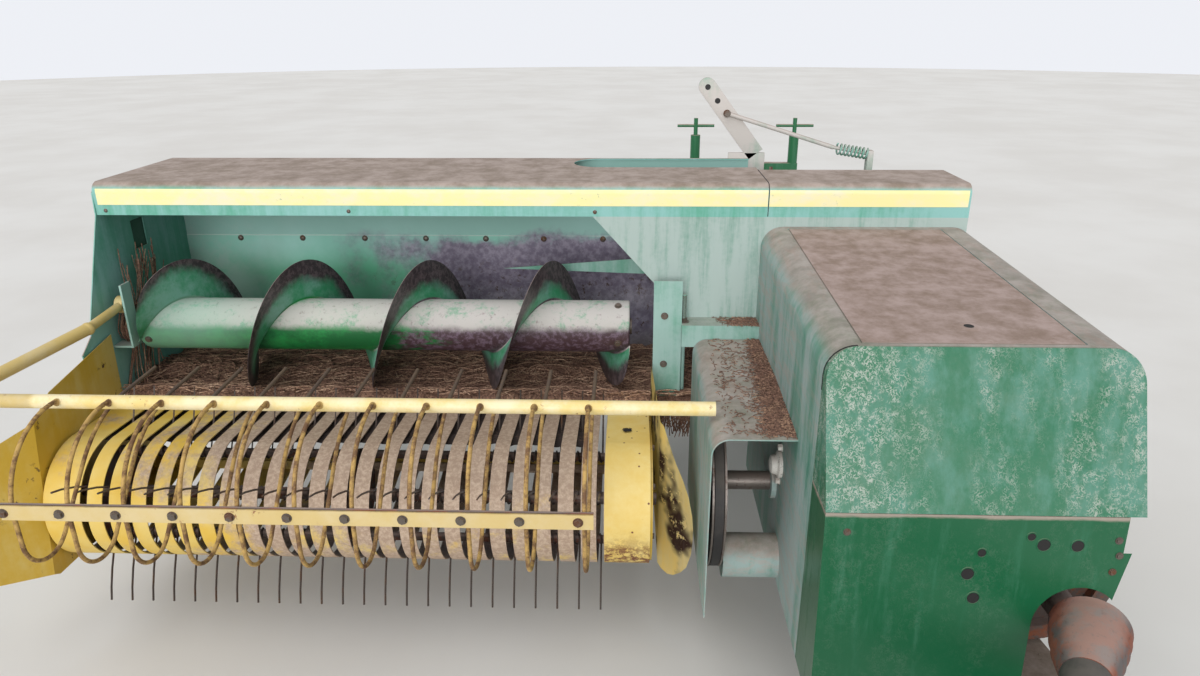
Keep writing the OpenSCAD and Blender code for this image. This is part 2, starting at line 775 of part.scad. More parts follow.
// The rod leaves its hook on a straight line that touches the tail's arc
hook_turn = asin((tail_r + hook_r) / norm(hook_c - reel_pin)) - atan2(144, 395);
tail_end = 92;
tail_l = 158;

module arc_rod(c, r, from, to) translate([0, c[0], c[1]]) rotate([90, 0, 90]) rotate(from)
    rotate_extrude(angle = to - from) translate([r, 0]) circle(rod_r, $fn = 16);

module windguard_rod() {
    bar([0, pipe_y - sqrt(pow(pipe_r, 2) - pow(rod_top - rod_r - pipe_z, 2)) - seat, rod_top],
        [0, crown_c[0], rod_top], rod_r);
    arc_rod(crown_c, crown_r, 90, 180);
    bar([0, front_line, crown_c[1]], [0, front_line, hook_c[1]], rod_r);
    arc_rod(hook_c, hook_r, 180, 270 + hook_turn);
    hook_end = hook_c + hook_r * [sin(hook_turn), -cos(hook_turn)];
    tail_start = reel_pin + tail_r * [-sin(hook_turn), cos(hook_turn)];
    bar([0, hook_end[0], hook_end[1]], [0, tail_start[0], tail_start[1]], rod_r);
    arc_rod(reel_pin, tail_r, tail_end, 90 + hook_turn);
    tail_out = reel_pin + tail_r * [cos(tail_end), sin(tail_end)];
    tail_tip = tail_out + tail_l * [sin(tail_end), -cos(tail_end)];
    bar([0, tail_out[0], tail_out[1]], [0, tail_tip[0], tail_tip[1]], rod_r);
    for (end = [[crown_c[0], rod_top], [front_line, crown_c[1]], [front_line, hook_c[1]],
            hook_end, tail_start, tail_out])
        translate([0, end[0], end[1]]) sphere(rod_r + 0.5);
}

module windguard() color("gold") {
    difference() {
        union() {
            x_bar(bend_x, pipe_end, pipe_y, pipe_z, pipe_r);
            translate([bend_x, pipe_y, pipe_z]) sphere(elbow_r);
            bar([bend_x, pipe_y, pipe_z], arm_knee, pipe_r);
            translate(arm_knee) sphere(elbow_r);
            bar(arm_knee, [post_x - 20, guard_pivot[0] - 16, guard_pivot[1]], pipe_r - 4);
            x_bar(post_x - 32, post_x - 8, guard_pivot[0], guard_pivot[1], 26);
        }
        x_bar(post_x - 40, post_x, guard_pivot[0], guard_pivot[1], guard_pin_r + run);
    }
    for (i = [0 : rod_count - 1])
        translate([rod_x0 + i * rod_pitch, 0, 0]) windguard_rod();
    // Flat bar across the rods
    block([rod_x0 - 20, front_line - rod_r - seat - 5, crown_c[1] + 5],
        [rod_x0 + (rod_count - 1) * rod_pitch + 20, front_line - rod_r - seat, crown_c[1] + 41]);
}

module windguard_post() color("darkgreen") {
    x_bar(post_x - 34, post_x + 1, guard_pivot[0], guard_pivot[1], guard_pin_r);
    block([post_x, guard_pivot[0] - 33, 735], [post_x + 6, guard_pivot[0] + 13, 930]);
    block([hood_far + sheet_t, guard_pivot[0] - 33, 735], [post_x + 1, guard_pivot[0] + 13, 741]);
}

// Drive shield

// Side view of the shield; inset makes its inner face
module shield_side(inset) polygon([
    [inset > 0 ? cut : 0, shield_low - (inset > 0 ? cut : 0)], [inset > 0 ? cut : 0, shield_top - inset],
    [shield_brow + inset * 0.7, shield_top_front - inset], [shield_seam_y + inset, shield_seam_z],
    [shield_foot_y + inset, shield_low - (inset > 0 ? cut : 0)]
]);

shield_slope = atan2(shield_top - shield_top_front, -shield_brow);

module shield_form(inset) intersection() {
    side_plate(-shield_far + inset, shield_far + shield_near - 2 * inset) shield_side(inset);
    translate([0, cut, shield_top - inset]) rotate([90 + shield_slope, 0, 0]) translate([0, 0, -20])
        linear_extrude(-shield_foot_y + 80) shield_front(inset);
}

// Front view of the shield, with its top at 0
module shield_front(inset) {
    r = shield_round - inset;
    left = -shield_far + inset;
    right = shield_near - inset;
    translate([left, -1200]) square([right - left, 1200 - r]);
    translate([left + r, -1200]) square([right - left - 2 * r, 1200]);
    for (x = [left + r, right - r])
        translate([x, -r]) circle(r);
}

module shield_shell() difference() {
    shield_form(0);
    shield_form(sheet_t);
}

lid_far = -shield_far + lid_rim_far;
lid_near = shield_near - lid_rim_near;
lid_front = shield_brow + 16;
lid_rear = -24;

module lid_cut(gap) block([lid_far - gap, lid_front - gap, 1000], [lid_near + gap, lid_rear + gap, 1200]);

module front_cut(y0, z0, z1) block([-shield_far - cut, shield_foot_y - 20, z0], [shield_near + cut, y0, z1]);

wall_near_low = 800;
lid_ledge = 10;
lid_lift = 0.5;

module drive_shield() color("green") {
    difference() {
        shield_shell();
        lid_cut(0);
        front_cut(shield_brow + 4, 0, 1300);
        block([shield_near - 30, shield_foot_y - 20, 0], [shield_near + cut, cut, wall_near_low]);
    }
    // Tube through the belt guard
    x_bar(sheave_x + sheave_w + 6, -shield_far + 1, -550, 385, 55);
    // Bearing of the belt sheave
    difference() {
        x_bar(-shield_far - 12, -shield_far + 1, sheave_c[0], sheave_c[1], 45);
        x_bar(-shield_far - 13, -shield_far + cut, sheave_c[0], sheave_c[1], sheave_pin_r + run);
    }
    // Ledge under the lid
    difference() {
        intersection() {
            translate([0, 0, lid_lift - sheet_t]) shield_shell();
            lid_cut(lid_ledge);
        }
        lid_cut(-lid_ledge);
    }
}

module shield_upper_panel() color("green") intersection() {
    shield_shell();
    front_cut(shield_brow + 4, shield_seam_z + 1, 1300);
}

shaft_cut_r = 84;

module shield_lower_panel() color("green") difference() {
    intersection() {
        shield_shell();
        front_cut(shield_brow + 4, 0, shield_seam_z);
    }
    block([shield_near - 30, shield_foot_y + 25, 0], [shield_near + cut, 0, wall_near_low]);
    // Cut-out round the drive shaft, and the slanting near edge above it
    y_bar(shield_foot_y - 20, shield_foot_y + 60, input_x, input_z, shaft_cut_r);
    block([input_x - shaft_cut_r, shield_foot_y - 20, 0], [shield_near + cut, shield_foot_y + 60, input_z]);
    // Notch over the swing plates
    block([input_x - shaft_cut_r - 20, shield_foot_y - 20, 0],
        [input_x, shield_foot_y + 60, tongue_top + seat + swing_plate_t + 6]);
    front_plate(shield_foot_y - 20, 80) polygon([
        [shield_near + cut, shield_seam_z], [shield_near, shield_seam_z],
        [input_x + 62, input_z + 60], [input_x + 62, input_z - 5], [shield_near + cut, input_z - 5]
    ]);
}

module shield_lid() color("green") intersection() {
    translate([0, 0, lid_lift + seat]) shield_shell();
    lid_cut(-lid_gap);
}

// Belt guard and bracket

guard_far = -shield_far - guard_w;

module guard_form(inset) {
    r = guard_round - inset;
    translate([guard_far + inset, guard_low - (inset > 0 ? cut : 0)])
        square([
            guard_w - inset + (inset > 0 ? cut : 0), guard_top - guard_round - guard_low + (inset > 0 ? cut : 0)
        ]);
    translate([guard_far + guard_round, guard_top - guard_round - cut])
        square([guard_w - guard_round + (inset > 0 ? cut : 0), guard_round + cut - inset]);
    translate([guard_far + guard_round, guard_top - guard_round]) circle(r);
}

module belt_guard() color("green") front_plate(guard_front, -guard_front - 75) difference() {
    guard_form(0);
    guard_form(sheet_t);
}

// Bracket between the auger's near end and the drive shield
bracket_far = auger_x + auger_l + 70;
bracket_in = bracket_far + 82;

module lift_bracket() color("darkgreen") {
    block([bracket_in, -74, 822], [-shield_far, 0, 826]);
    block([bracket_in, -74, 760], [-shield_far, -70, 822]);
    block([bracket_far, -60, floor_z + 6], [bracket_in, -56, 955]);
    translate([bracket_in + 7, -40, 600]) cylinder(h = 222, r = 6);
    translate([bracket_in + 7, -40, 826]) cylinder(h = 84, r = 6);
}

sheave_c = [-455, 545];
sheave_w = 34;
sheave_x = guard_far + 12;
sheave_pin_r = 24;

module belt_sheave() color("dimgray") difference() {
    union() {
        x_bar(sheave_x, sheave_x + sheave_w, sheave_c[0], sheave_c[1], sheave_r);
        x_bar(sheave_x + sheave_w, -shield_far - seat, sheave_c[0], sheave_c[1], sheave_pin_r);
    }
    translate([sheave_x + sheave_w / 2, sheave_c[0], sheave_c[1]]) rotate([0, 90, 0])
        rotate_extrude() polygon([[sheave_r - 16, -6], [sheave_r + 1, -13], [sheave_r + 1, 13], [sheave_r - 16, 6]]);
}

// Drive shaft and tongue, drawn straight ahead and then turned about the swing axis

module on_tongue() translate([input_x, swing_y, 0]) rotate([0, 0, -tongue_turn]) children();

bell_r = 72;

module pto_guard() color("dimgray") on_tongue() difference() {
    union() {
        translate([0, 50, input_z]) rotate([90, 0, 0]) cylinder(h = 150, r1 = bell_r, r2 = pto_guard_r);
        y_bar(-620, -60, 0, input_z, pto_guard_r);
        y_bar(-pto_l + 90, -560, 0, input_z, pto_guard_r - 7);
    }
    y_bar(-pto_l, 51, 0, input_z, pto_r + run);
    translate([0, 51, input_z]) rotate([90, 0, 0]) cylinder(h = 110, r1 = bell_r - 4, r2 = pto_guard_r - 8);
}

module pto_shaft() color("gray") on_tongue() {
    y_bar(-pto_l, -joint_gap, 0, input_z, pto_r);
    y_bar(-55, -joint_gap, 0, input_z, joint_r);
    difference() {
        y_bar(-pto_l - 60, -pto_l, 0, input_z, 38);
        y_bar(-pto_l - 61, -pto_l - 5, 0, input_z, 17.5);
    }
}

module tongue() color("darkgreen") on_tongue() difference() {
    union() {
        block([-tongue_w / 2, -tongue_l + 60, tongue_top - tongue_h], [tongue_w / 2, 0, tongue_top]);
        translate([0, 0, tongue_top - tongue_h]) cylinder(h = tongue_h, r = 62);
        // Hitch clevis plates
        for (z = [tongue_top - 18, tongue_top - tongue_h])
            translate([0, 0, z]) linear_extrude(18) {
                translate([0, -tongue_l]) circle(hitch_plate);
                translate([-hitch_plate, -tongue_l]) square([2 * hitch_plate, 140]);
            }
        // Rest for the drive shaft
        block([-10, -1000, tongue_top], [10, -970, input_z - pto_guard_r + 7]);
        // Tube of the jack
        translate([jack_x, jack_y, jack_low]) cylinder(h = jack_l, r = jack_r);
        block([jack_x, jack_y - 30, tongue_top - tongue_h + 10],
            [-tongue_w / 2 + 1, jack_y + 30, tongue_top - 10]);
    }
    translate([jack_x, jack_y, jack_low - cut]) cylinder(h = jack_l - 60, r = jack_leg_r + run);
    translate([0, 0, tongue_top - tongue_h - cut]) cylinder(h = tongue_h + 2 * cut, r = swing_pin_r + run);
    translate([0, -tongue_l, tongue_top - tongue_h - cut]) cylinder(h = tongue_h + 2 * cut, r = hitch_r);
    block([-hitch_plate - cut, -tongue_l - hitch_plate - cut, tongue_top - tongue_h + 18],
        [hitch_plate + cut, -tongue_l + 70, tongue_top - 18]);
}

jack_y = -tongue_l + jack_back;
jack_x = -tongue_w / 2 - jack_r - 12;
jack_leg_r = jack_r - 6;
jack_low = 250;
jack_l = 520;

module jack_leg() color("silver") on_tongue() {
    translate([jack_x, jack_y, 6]) cylinder(h = jack_low + 190, r = jack_leg_r);
    translate([jack_x, jack_y, 0]) cylinder(h = 8, r = 75);
}

// Axle and wheels

module axle() color("darkgreen") {
    block([-wheel_far_x + 120, axle_y - axle_s / 2, axle_z - axle_s / 2],
        [wheel_near_x - 150, axle_y + axle_s / 2, axle_z + axle_s / 2]);
    for (side = [-1, 1])
        translate([side * 150 - 40, axle_y - axle_s / 2, axle_z + axle_s / 2])
            cube([80, axle_s, case_floor - case_t - axle_z - axle_s / 2]);
    x_bar(wheel_near_x - 150, wheel_near_x + 40, axle_y, tyre_near_r, spindle_r);
    x_bar(-wheel_far_x - 40, -wheel_far_x + 120, axle_y, tyre_far_r, spindle_r);
}

module rim(x, z, w, side) translate([x, axle_y, z]) rotate([0, side * 90, 0]) color("gold") difference() {
    union() {
        rotate_extrude() polygon([
            [rim_r - 10, -w / 2 + 25], [rim_r + 12, -w / 2 + 15], [rim_r + 12, -w / 2 + 21],
            [rim_r, -w / 2 + 30], [rim_r, w / 2 - 30], [rim_r + 12, w / 2 - 21],
            [rim_r + 12, w / 2 - 15], [rim_r - 10, w / 2 - 25]
        ]);
        translate([0, 0, 5]) cylinder(h = 8, r = rim_r - 5);
        translate([0, 0, -60]) cylinder(h = 120, r = 52);
    }
    translate([0, 0, -61]) cylinder(h = 140, r = spindle_r + run);
}

module tyre(x, z, r, w) translate([x, axle_y, z]) rotate([0, 90, 0]) color("black")
    rotate_extrude($fn = 60) polygon([
        [rim_r + seat, -w / 2 + 32], [rim_r + 14, -w / 2 + 22], [rim_r + 40, -w / 2 + 4], [r - 75, -w / 2],
        [r - 30, -w / 2 + 12], [r - 6, -w / 2 + 40], [r, -w / 4], [r, w / 4], [r - 6, w / 2 - 40],
        [r - 30, w / 2 - 12], [r - 75, w / 2], [rim_r + 40, w / 2 - 4], [rim_r + 14, w / 2 - 22],
        [rim_r + seat, w / 2 - 32]
    ]);

module near_rim() rim(wheel_near_x, tyre_near_r, tyre_near_w, 1);
module near_tyre() tyre(wheel_near_x, tyre_near_r, tyre_near_r, tyre_near_w);
module far_rim() rim(-wheel_far_x, tyre_far_r, tyre_far_w, -1);
module far_tyre() tyre(-wheel_far_x, tyre_far_r, tyre_far_r, tyre_far_w);

// Tying gear

yoke_z = case_floor + bale_h / 2;
yoke_in = case_out + case_t + 6;
needle_from = 27;
needle_to = 88;
yoke_pin_r = 16;

module needle_arc(x, r, from, to, t) translate([x, yoke_y, yoke_z]) rotate([90, 0, 90])
    rotate(180 + from) rotate_extrude(angle = to - from) translate([r, 0]) circle(t, $fn = 20);

module needle_yoke() color("dimgray") {
    difference() {
        union() {
            for (side = [-1, 1]) {
                needle_arc(side * needle_x, needle_r, needle_from, needle_to, needle_t);
                translate([side * (yoke_in + 6), yoke_y, yoke_z]) rotate([0, 90, 0])
                    cylinder(h = 12, r = 36, center = true);
                side_plate(side * (yoke_in + 6) - 6, 12) translate([yoke_y, yoke_z]) rotate(180 + needle_to)
                    translate([20, -22]) square([needle_r, 44]);
            }
            translate([-yoke_in - 12, yoke_y, yoke_z]) rotate([needle_to, 0, 0]) translate([0, -needle_r - 18, -20])
                cube([2 * yoke_in + 24, 36, 40]);
        }
        x_bar(-yoke_in - 20, yoke_in + 20, yoke_y, yoke_z, yoke_pin_r + run);
    }
}

knot_y = 900;
knot_z = case_top + case_t + 105;

module knotter() color("dimgray") {
    for (x = [-case_out, case_out - 10])
        side_plate(x, 10) difference() {
            polygon([
                [knot_y - 250, case_top + case_t], [knot_y + 250, case_top + case_t],
                [knot_y + 235, cover_seat], [knot_y - 235, cover_seat]
            ]);
            polygon([
                [knot_y - 190, case_top + 50], [knot_y - 60, case_top + 50],
                [knot_y - 100, cover_seat - 40], [knot_y - 180, cover_seat - 40]
            ]);
            polygon([
                [knot_y + 190, case_top + 50], [knot_y + 60, case_top + 50],
                [knot_y + 100, cover_seat - 40], [knot_y + 180, cover_seat - 40]
            ]);
        }
    // Brackets and pins of the cover's hinge
    for (side = [-1, 1]) {
        side_plate(side > 0 ? case_out - 10 : -case_out, 10) {
            polygon([
                [knot_y + 200, cover_hinge[1] - 100], [knot_y + 245, cover_hinge[1] - 100],
                [cover_hinge[0] + 9, cover_hinge[1]], [cover_hinge[0] - 9, cover_hinge[1]],
                [cover_hinge[0] - 9, cover_hinge[1] - 12], [knot_y + 200, cover_hinge[1] - 12]
            ]);
            translate(cover_hinge) circle(9);
        }
        x_bar(side > 0 ? cover_ear - 12 : -case_out + 9, side > 0 ? case_out - 9 : -cover_ear + 12,
            cover_hinge[0], cover_hinge[1], 6);
    }
    x_bar(-case_out + 10, case_out - 10, knot_y, knot_z, 22);
    for (x = [-needle_x, needle_x]) {
        x_bar(x - 55, x - 33, knot_y, knot_z, 80);
        x_bar(x - 33, x + 60, knot_y, knot_z, 45);
        translate([x + 10, knot_y - 90, case_top + case_t + 40]) cylinder(h = 120, r = 18);
        block([x - 30, knot_y - 110, case_top + case_t], [x + 40, knot_y - 60, case_top + case_t + 40]);
    }
    x_bar(case_out, case_out + 14, knot_y, knot_z, 88);
}

cover_x0 = -cover_w / 2 + 10;
cover_rear = cover_front + cover_l;
cover_seat = cover_top - sheet_t - seat;
cover_side = 90;
cover_hinge = [cover_rear + 14, cover_top - cover_side + 6];
cover_ear = case_out - 16;

module knotter_cover() color("green") difference() {
    union() {
        difference() {
            block([cover_x0, cover_front, cover_top - cover_side], [cover_x0 + cover_w, cover_rear, cover_top]);
            block([cover_x0 + sheet_t, cover_front + sheet_t, cover_top - cover_side - cut],
                [cover_x0 + cover_w - sheet_t, cover_rear - sheet_t, cover_top - sheet_t]);
        }
        for (x = [-cover_ear, cover_ear - 8])
            side_plate(x, 8) {
                translate(cover_hinge) circle(11);
                translate([cover_rear - 1, cover_hinge[1] + 1]) square([15, 10]);
            }
    }
    x_bar(-case_out, case_out, cover_hinge[0], cover_hinge[1], 6 + run);
}

meter_teeth = 16;

module metering_wheel() color("dimgray") difference() {
    union() {
        side_plate(-4, 8) translate([meter_y, meter_z]) {
            circle(meter_r - 25);
            for (k = [0 : meter_teeth - 1])
                rotate(k * 360 / meter_teeth) polygon([[meter_r - 40, -14], [meter_r, 0], [meter_r - 40, 14]]);
        }
        x_bar(-24, 24, meter_y, meter_z, 28);
    }
    x_bar(-25, 25, meter_y, meter_z, meter_pin_r + run);
}

twine_x1 = -yoke_in - 40;
twine_y0 = hood_depth + 45;
twine_z0 = 640;

module twine_box() color("green") {
    twine_tub();
    for (y = [twine_y0 + 60, twine_y0 + twine_l - 100])
        block([twine_x1, y, 780], [-case_out, y + 40, 790]);
    // Ears and pins of the lid's hinge
    for (y = twine_ears) {
        for (ear_y = [y, y + 112])
            front_plate(ear_y, 8) {
                polygon([
                    [twine_x1 - cut, twine_hinge[1] - 60], [twine_hinge[0] + 8, twine_hinge[1] - 20],
                    [twine_hinge[0] + 8, twine_hinge[1]], [twine_hinge[0] - 8, twine_hinge[1]],
                    [twine_hinge[0] - 8, twine_hinge[1] - 8], [twine_x1 - cut, twine_hinge[1] - 8]
                ]);
                translate(twine_hinge) circle(8);
            }
        y_bar(y + 1, y + 119, twine_hinge[0], twine_hinge[1], 4);
    }
}

module twine_tub() difference() {
    block([twine_x1 - twine_w, twine_y0, twine_z0], [twine_x1, twine_y0 + twine_l, twine_z0 + twine_h]);
    block([twine_x1 - twine_w + sheet_t, twine_y0 + sheet_t, twine_z0 + sheet_t],
        [twine_x1 - sheet_t, twine_y0 + twine_l - sheet_t, twine_z0 + twine_h + cut]);
}

twine_hinge = [twine_x1 + 16, twine_z0 + twine_h + seat + sheet_t / 2];
twine_ears = [twine_y0 + 70, twine_y0 + twine_l - 190];

module twine_box_lid() color("green") difference() {
    union() {
        block([twine_x1 - twine_w - 6, twine_y0 - 6, twine_z0 + twine_h + seat],
            [twine_x1, twine_y0 + twine_l + 6, twine_z0 + twine_h + seat + sheet_t]);
        for (y = twine_ears) {
            y_bar(y + 9, y + 111, twine_hinge[0], twine_hinge[1], 8);
            block([twine_x1 - cut, y + 9, twine_z0 + twine_h + seat],
                [twine_hinge[0], y + 111, twine_z0 + twine_h + seat + sheet_t]);
        }
    }
    y_bar(twine_y0, twine_y0 + twine_l, twine_hinge[0], twine_hinge[1], 4 + run);
}

// Feeder linkage on the hood

lever_foot = [-210, 1232];
lever_tip = [-394, 1470];
lever_y = hood_depth + seat;

module feeder_linkage() color("green") {
    way = lever_tip - lever_foot;
    rod_y = lever_y - 7 - seat;
    front_plate(lever_y, 10) translate(lever_foot) rotate(atan2(way[1], way[0])) difference() {
        translate([0, -28]) square([norm(way), 56]);
        for (at = [0.55, 0.72, 0.9])
            translate([norm(way) * at, 0]) circle(9);
    }
    block([lever_foot[0] - 90, lever_y, hood_top - 90], [lever_foot[0] + 30, lever_y + 10, lever_foot[1] + 6]);
    y_bar(rod_y - 7, lever_y + 9, -312, 1365, 9);
    bar([-312, rod_y, 1365], [60, rod_y, 1250], 7);
    bar([60, rod_y, 1250], [160, rod_y, 1235], 20);
    block([150, rod_y - 14, case_top + case_t], [170, rod_y + 14, 1245]);
}

seated() front_frame();
seated() bale_case();
seated() density_rails();
seated() bale_chute();
seated() plunger();
seated() crank_and_rod();
seated() gearbox();
seated() flywheel();
seated() hood();
seated() end_panel();
seated() gusset_panel();
seated() platform();
seated() platform_frame();
seated() hay_guide();
seated() auger();
seated() pickup_frame();
seated() strippers();
seated() far_flare();
seated() near_flare();
seated() tine_reel();
seated() windguard();
seated() windguard_post();
seated() drive_shield();
seated() shield_upper_panel();
seated() shield_lower_panel();
seated() shield_lid();
seated() belt_guard();
seated() lift_bracket();
seated() belt_sheave();
seated() pto_guard();
seated() pto_shaft();
seated() tongue();
seated() jack_leg();
seated() axle();
seated() near_rim();
seated() near_tyre();
seated() far_rim();
seated() far_tyre();
seated() needle_yoke();
seated() knotter();
seated() knotter_cover();
seated() metering_wheel();
seated() twine_box();
seated() twine_box_lid();
seated() feeder_linkage();
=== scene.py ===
# Looks of a square baler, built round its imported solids.
# Places are given in metres from the bale case's centre line, the front of the
# hood and the ground: x grows away from the pickup, y to the rear, z upwards.
import math
import random

import bmesh
import bpy
from mathutils import Matrix, Vector, noise


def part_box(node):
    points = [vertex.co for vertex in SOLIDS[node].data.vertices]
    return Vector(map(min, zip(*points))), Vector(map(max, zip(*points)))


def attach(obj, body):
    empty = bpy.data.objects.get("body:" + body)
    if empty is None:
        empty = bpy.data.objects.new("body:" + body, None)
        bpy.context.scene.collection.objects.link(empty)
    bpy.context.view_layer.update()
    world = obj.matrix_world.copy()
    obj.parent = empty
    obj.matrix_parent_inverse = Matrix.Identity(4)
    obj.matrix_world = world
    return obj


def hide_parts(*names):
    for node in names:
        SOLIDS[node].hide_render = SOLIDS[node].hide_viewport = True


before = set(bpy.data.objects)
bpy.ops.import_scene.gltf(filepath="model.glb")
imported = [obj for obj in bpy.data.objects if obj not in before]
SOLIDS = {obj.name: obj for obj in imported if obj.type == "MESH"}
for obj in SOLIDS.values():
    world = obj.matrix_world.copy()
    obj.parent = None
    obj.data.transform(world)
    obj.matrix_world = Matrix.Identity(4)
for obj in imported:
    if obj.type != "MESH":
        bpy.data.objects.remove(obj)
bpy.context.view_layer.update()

CASE_X = (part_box("bale_case")[0].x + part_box("bale_case")[1].x) / 2
HOOD_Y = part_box("hood")[0].y
X, Y, Z = Vector((1, 0, 0)), Vector((0, 1, 0)), Vector((0, 0, 1))


def at(x, y, z):
    """A place on the baler, from its case's centre line and its hood's front."""
    return Vector((CASE_X + x, HOOD_Y + y, z))


def edges_of(node):
    """A solid's lowest and highest corners, as places on the baler."""
    low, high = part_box(node)
    origin = at(0, 0, 0)
    return low - origin, high - origin


# Camera, light and floor


def place_camera(pitch=21.0, yaw=2.2, roll=0.3, lens=24.9):
    tilt, turn, lean = (math.radians(angle) for angle in (pitch, yaw, roll))
    forward = Vector((-math.sin(turn) * math.cos(tilt), math.cos(turn) * math.cos(tilt), -math.sin(tilt)))
    level = Vector((math.cos(turn), math.sin(turn), 0))
    below = forward.cross(level)
    right = level * math.cos(lean) + below * math.sin(lean)
    down = below * math.cos(lean) - level * math.sin(lean)
    camera = bpy.data.objects.new("camera", bpy.data.cameras.new("camera"))
    camera.data.sensor_width, camera.data.lens = 36, lens
    camera.data.clip_start, camera.data.clip_end = 0.05, 100
    turned = Matrix((right, -down, -forward)).transposed().to_4x4()
    camera.matrix_world = Matrix.Translation(at(-0.620, -2.327, 1.651)) @ turned
    bpy.context.scene.collection.objects.link(camera)
    bpy.context.scene.camera = camera


def light_up():
    scene = bpy.context.scene
    scene.view_settings.view_transform = "Standard"
    for name, energy, spread, side in (("soft_sun", 1.15, 50, (-0.35, -0.60, 1.25)),
                                       ("front_light", 1.9, 30, (-0.10, -1.0, 0.16))):
        sun = bpy.data.objects.new(name, bpy.data.lights.new(name, "SUN"))
        sun.data.energy, sun.data.angle = energy, math.radians(spread)
        sun.matrix_world = Vector(side).to_track_quat("Z", "Y").to_matrix().to_4x4()
        scene.collection.objects.link(sun)
    sky = bpy.data.worlds.new("studio")
    scene.world = sky
    sky.use_nodes = True
    nodes, links = sky.node_tree.nodes, sky.node_tree.links
    ray = nodes.new("ShaderNodeLightPath")
    shown = nodes.new("ShaderNodeMath")
    shown.operation = "MAXIMUM"
    links.new(ray.outputs["Is Camera Ray"], shown.inputs[0])
    links.new(ray.outputs["Is Transmission Ray"], shown.inputs[1])
    mirrored = nodes.new("ShaderNodeMath")
    mirrored.operation = "MAXIMUM"
    links.new(shown.outputs[0], mirrored.inputs[0])
    links.new(ray.outputs["Is Glossy Ray"], mirrored.inputs[1])
    level = nodes.new("ShaderNodeMapRange")
    level.inputs["To Min"].default_value, level.inputs["To Max"].default_value = 0.62, 0.92
    links.new(mirrored.outputs[0], level.inputs["Value"])
    backdrop = nodes["Background"]
    backdrop.inputs["Color"].default_value = (0.93, 0.95, 1.0, 1)
    links.new(level.outputs["Result"], backdrop.inputs["Strength"])


# Materials


def tint(red, green, blue):
    """A paint chip's red, green and blue from 0 to 255, as a shader colour."""
    return tuple(((c / 255 + 0.055) / 1.055) ** 2.4 if c > 10 else c / 3300 for c in (red, green, blue)) + (1,)


FRESH_GREEN = tint(28, 112, 66)
DEEP_GREEN = tint(20, 78, 48)
FADED_GREEN = tint(96, 152, 136)
CHALK_GREEN = tint(142, 172, 163)
DUST = tint(172, 153, 143)
BROWN_DUST = tint(132, 112, 98)
PALE_SPECK = tint(164, 172, 160)
FRESH_YELLOW = tint(222, 186, 74)
PALE_YELLOW = tint(228, 208, 150)
RUST = tint(112, 62, 38)
DARK_RUST = tint(66, 42, 34)
WORN_STEEL = tint(118, 112, 130)
DARK_STEEL = tint(58, 52, 56)


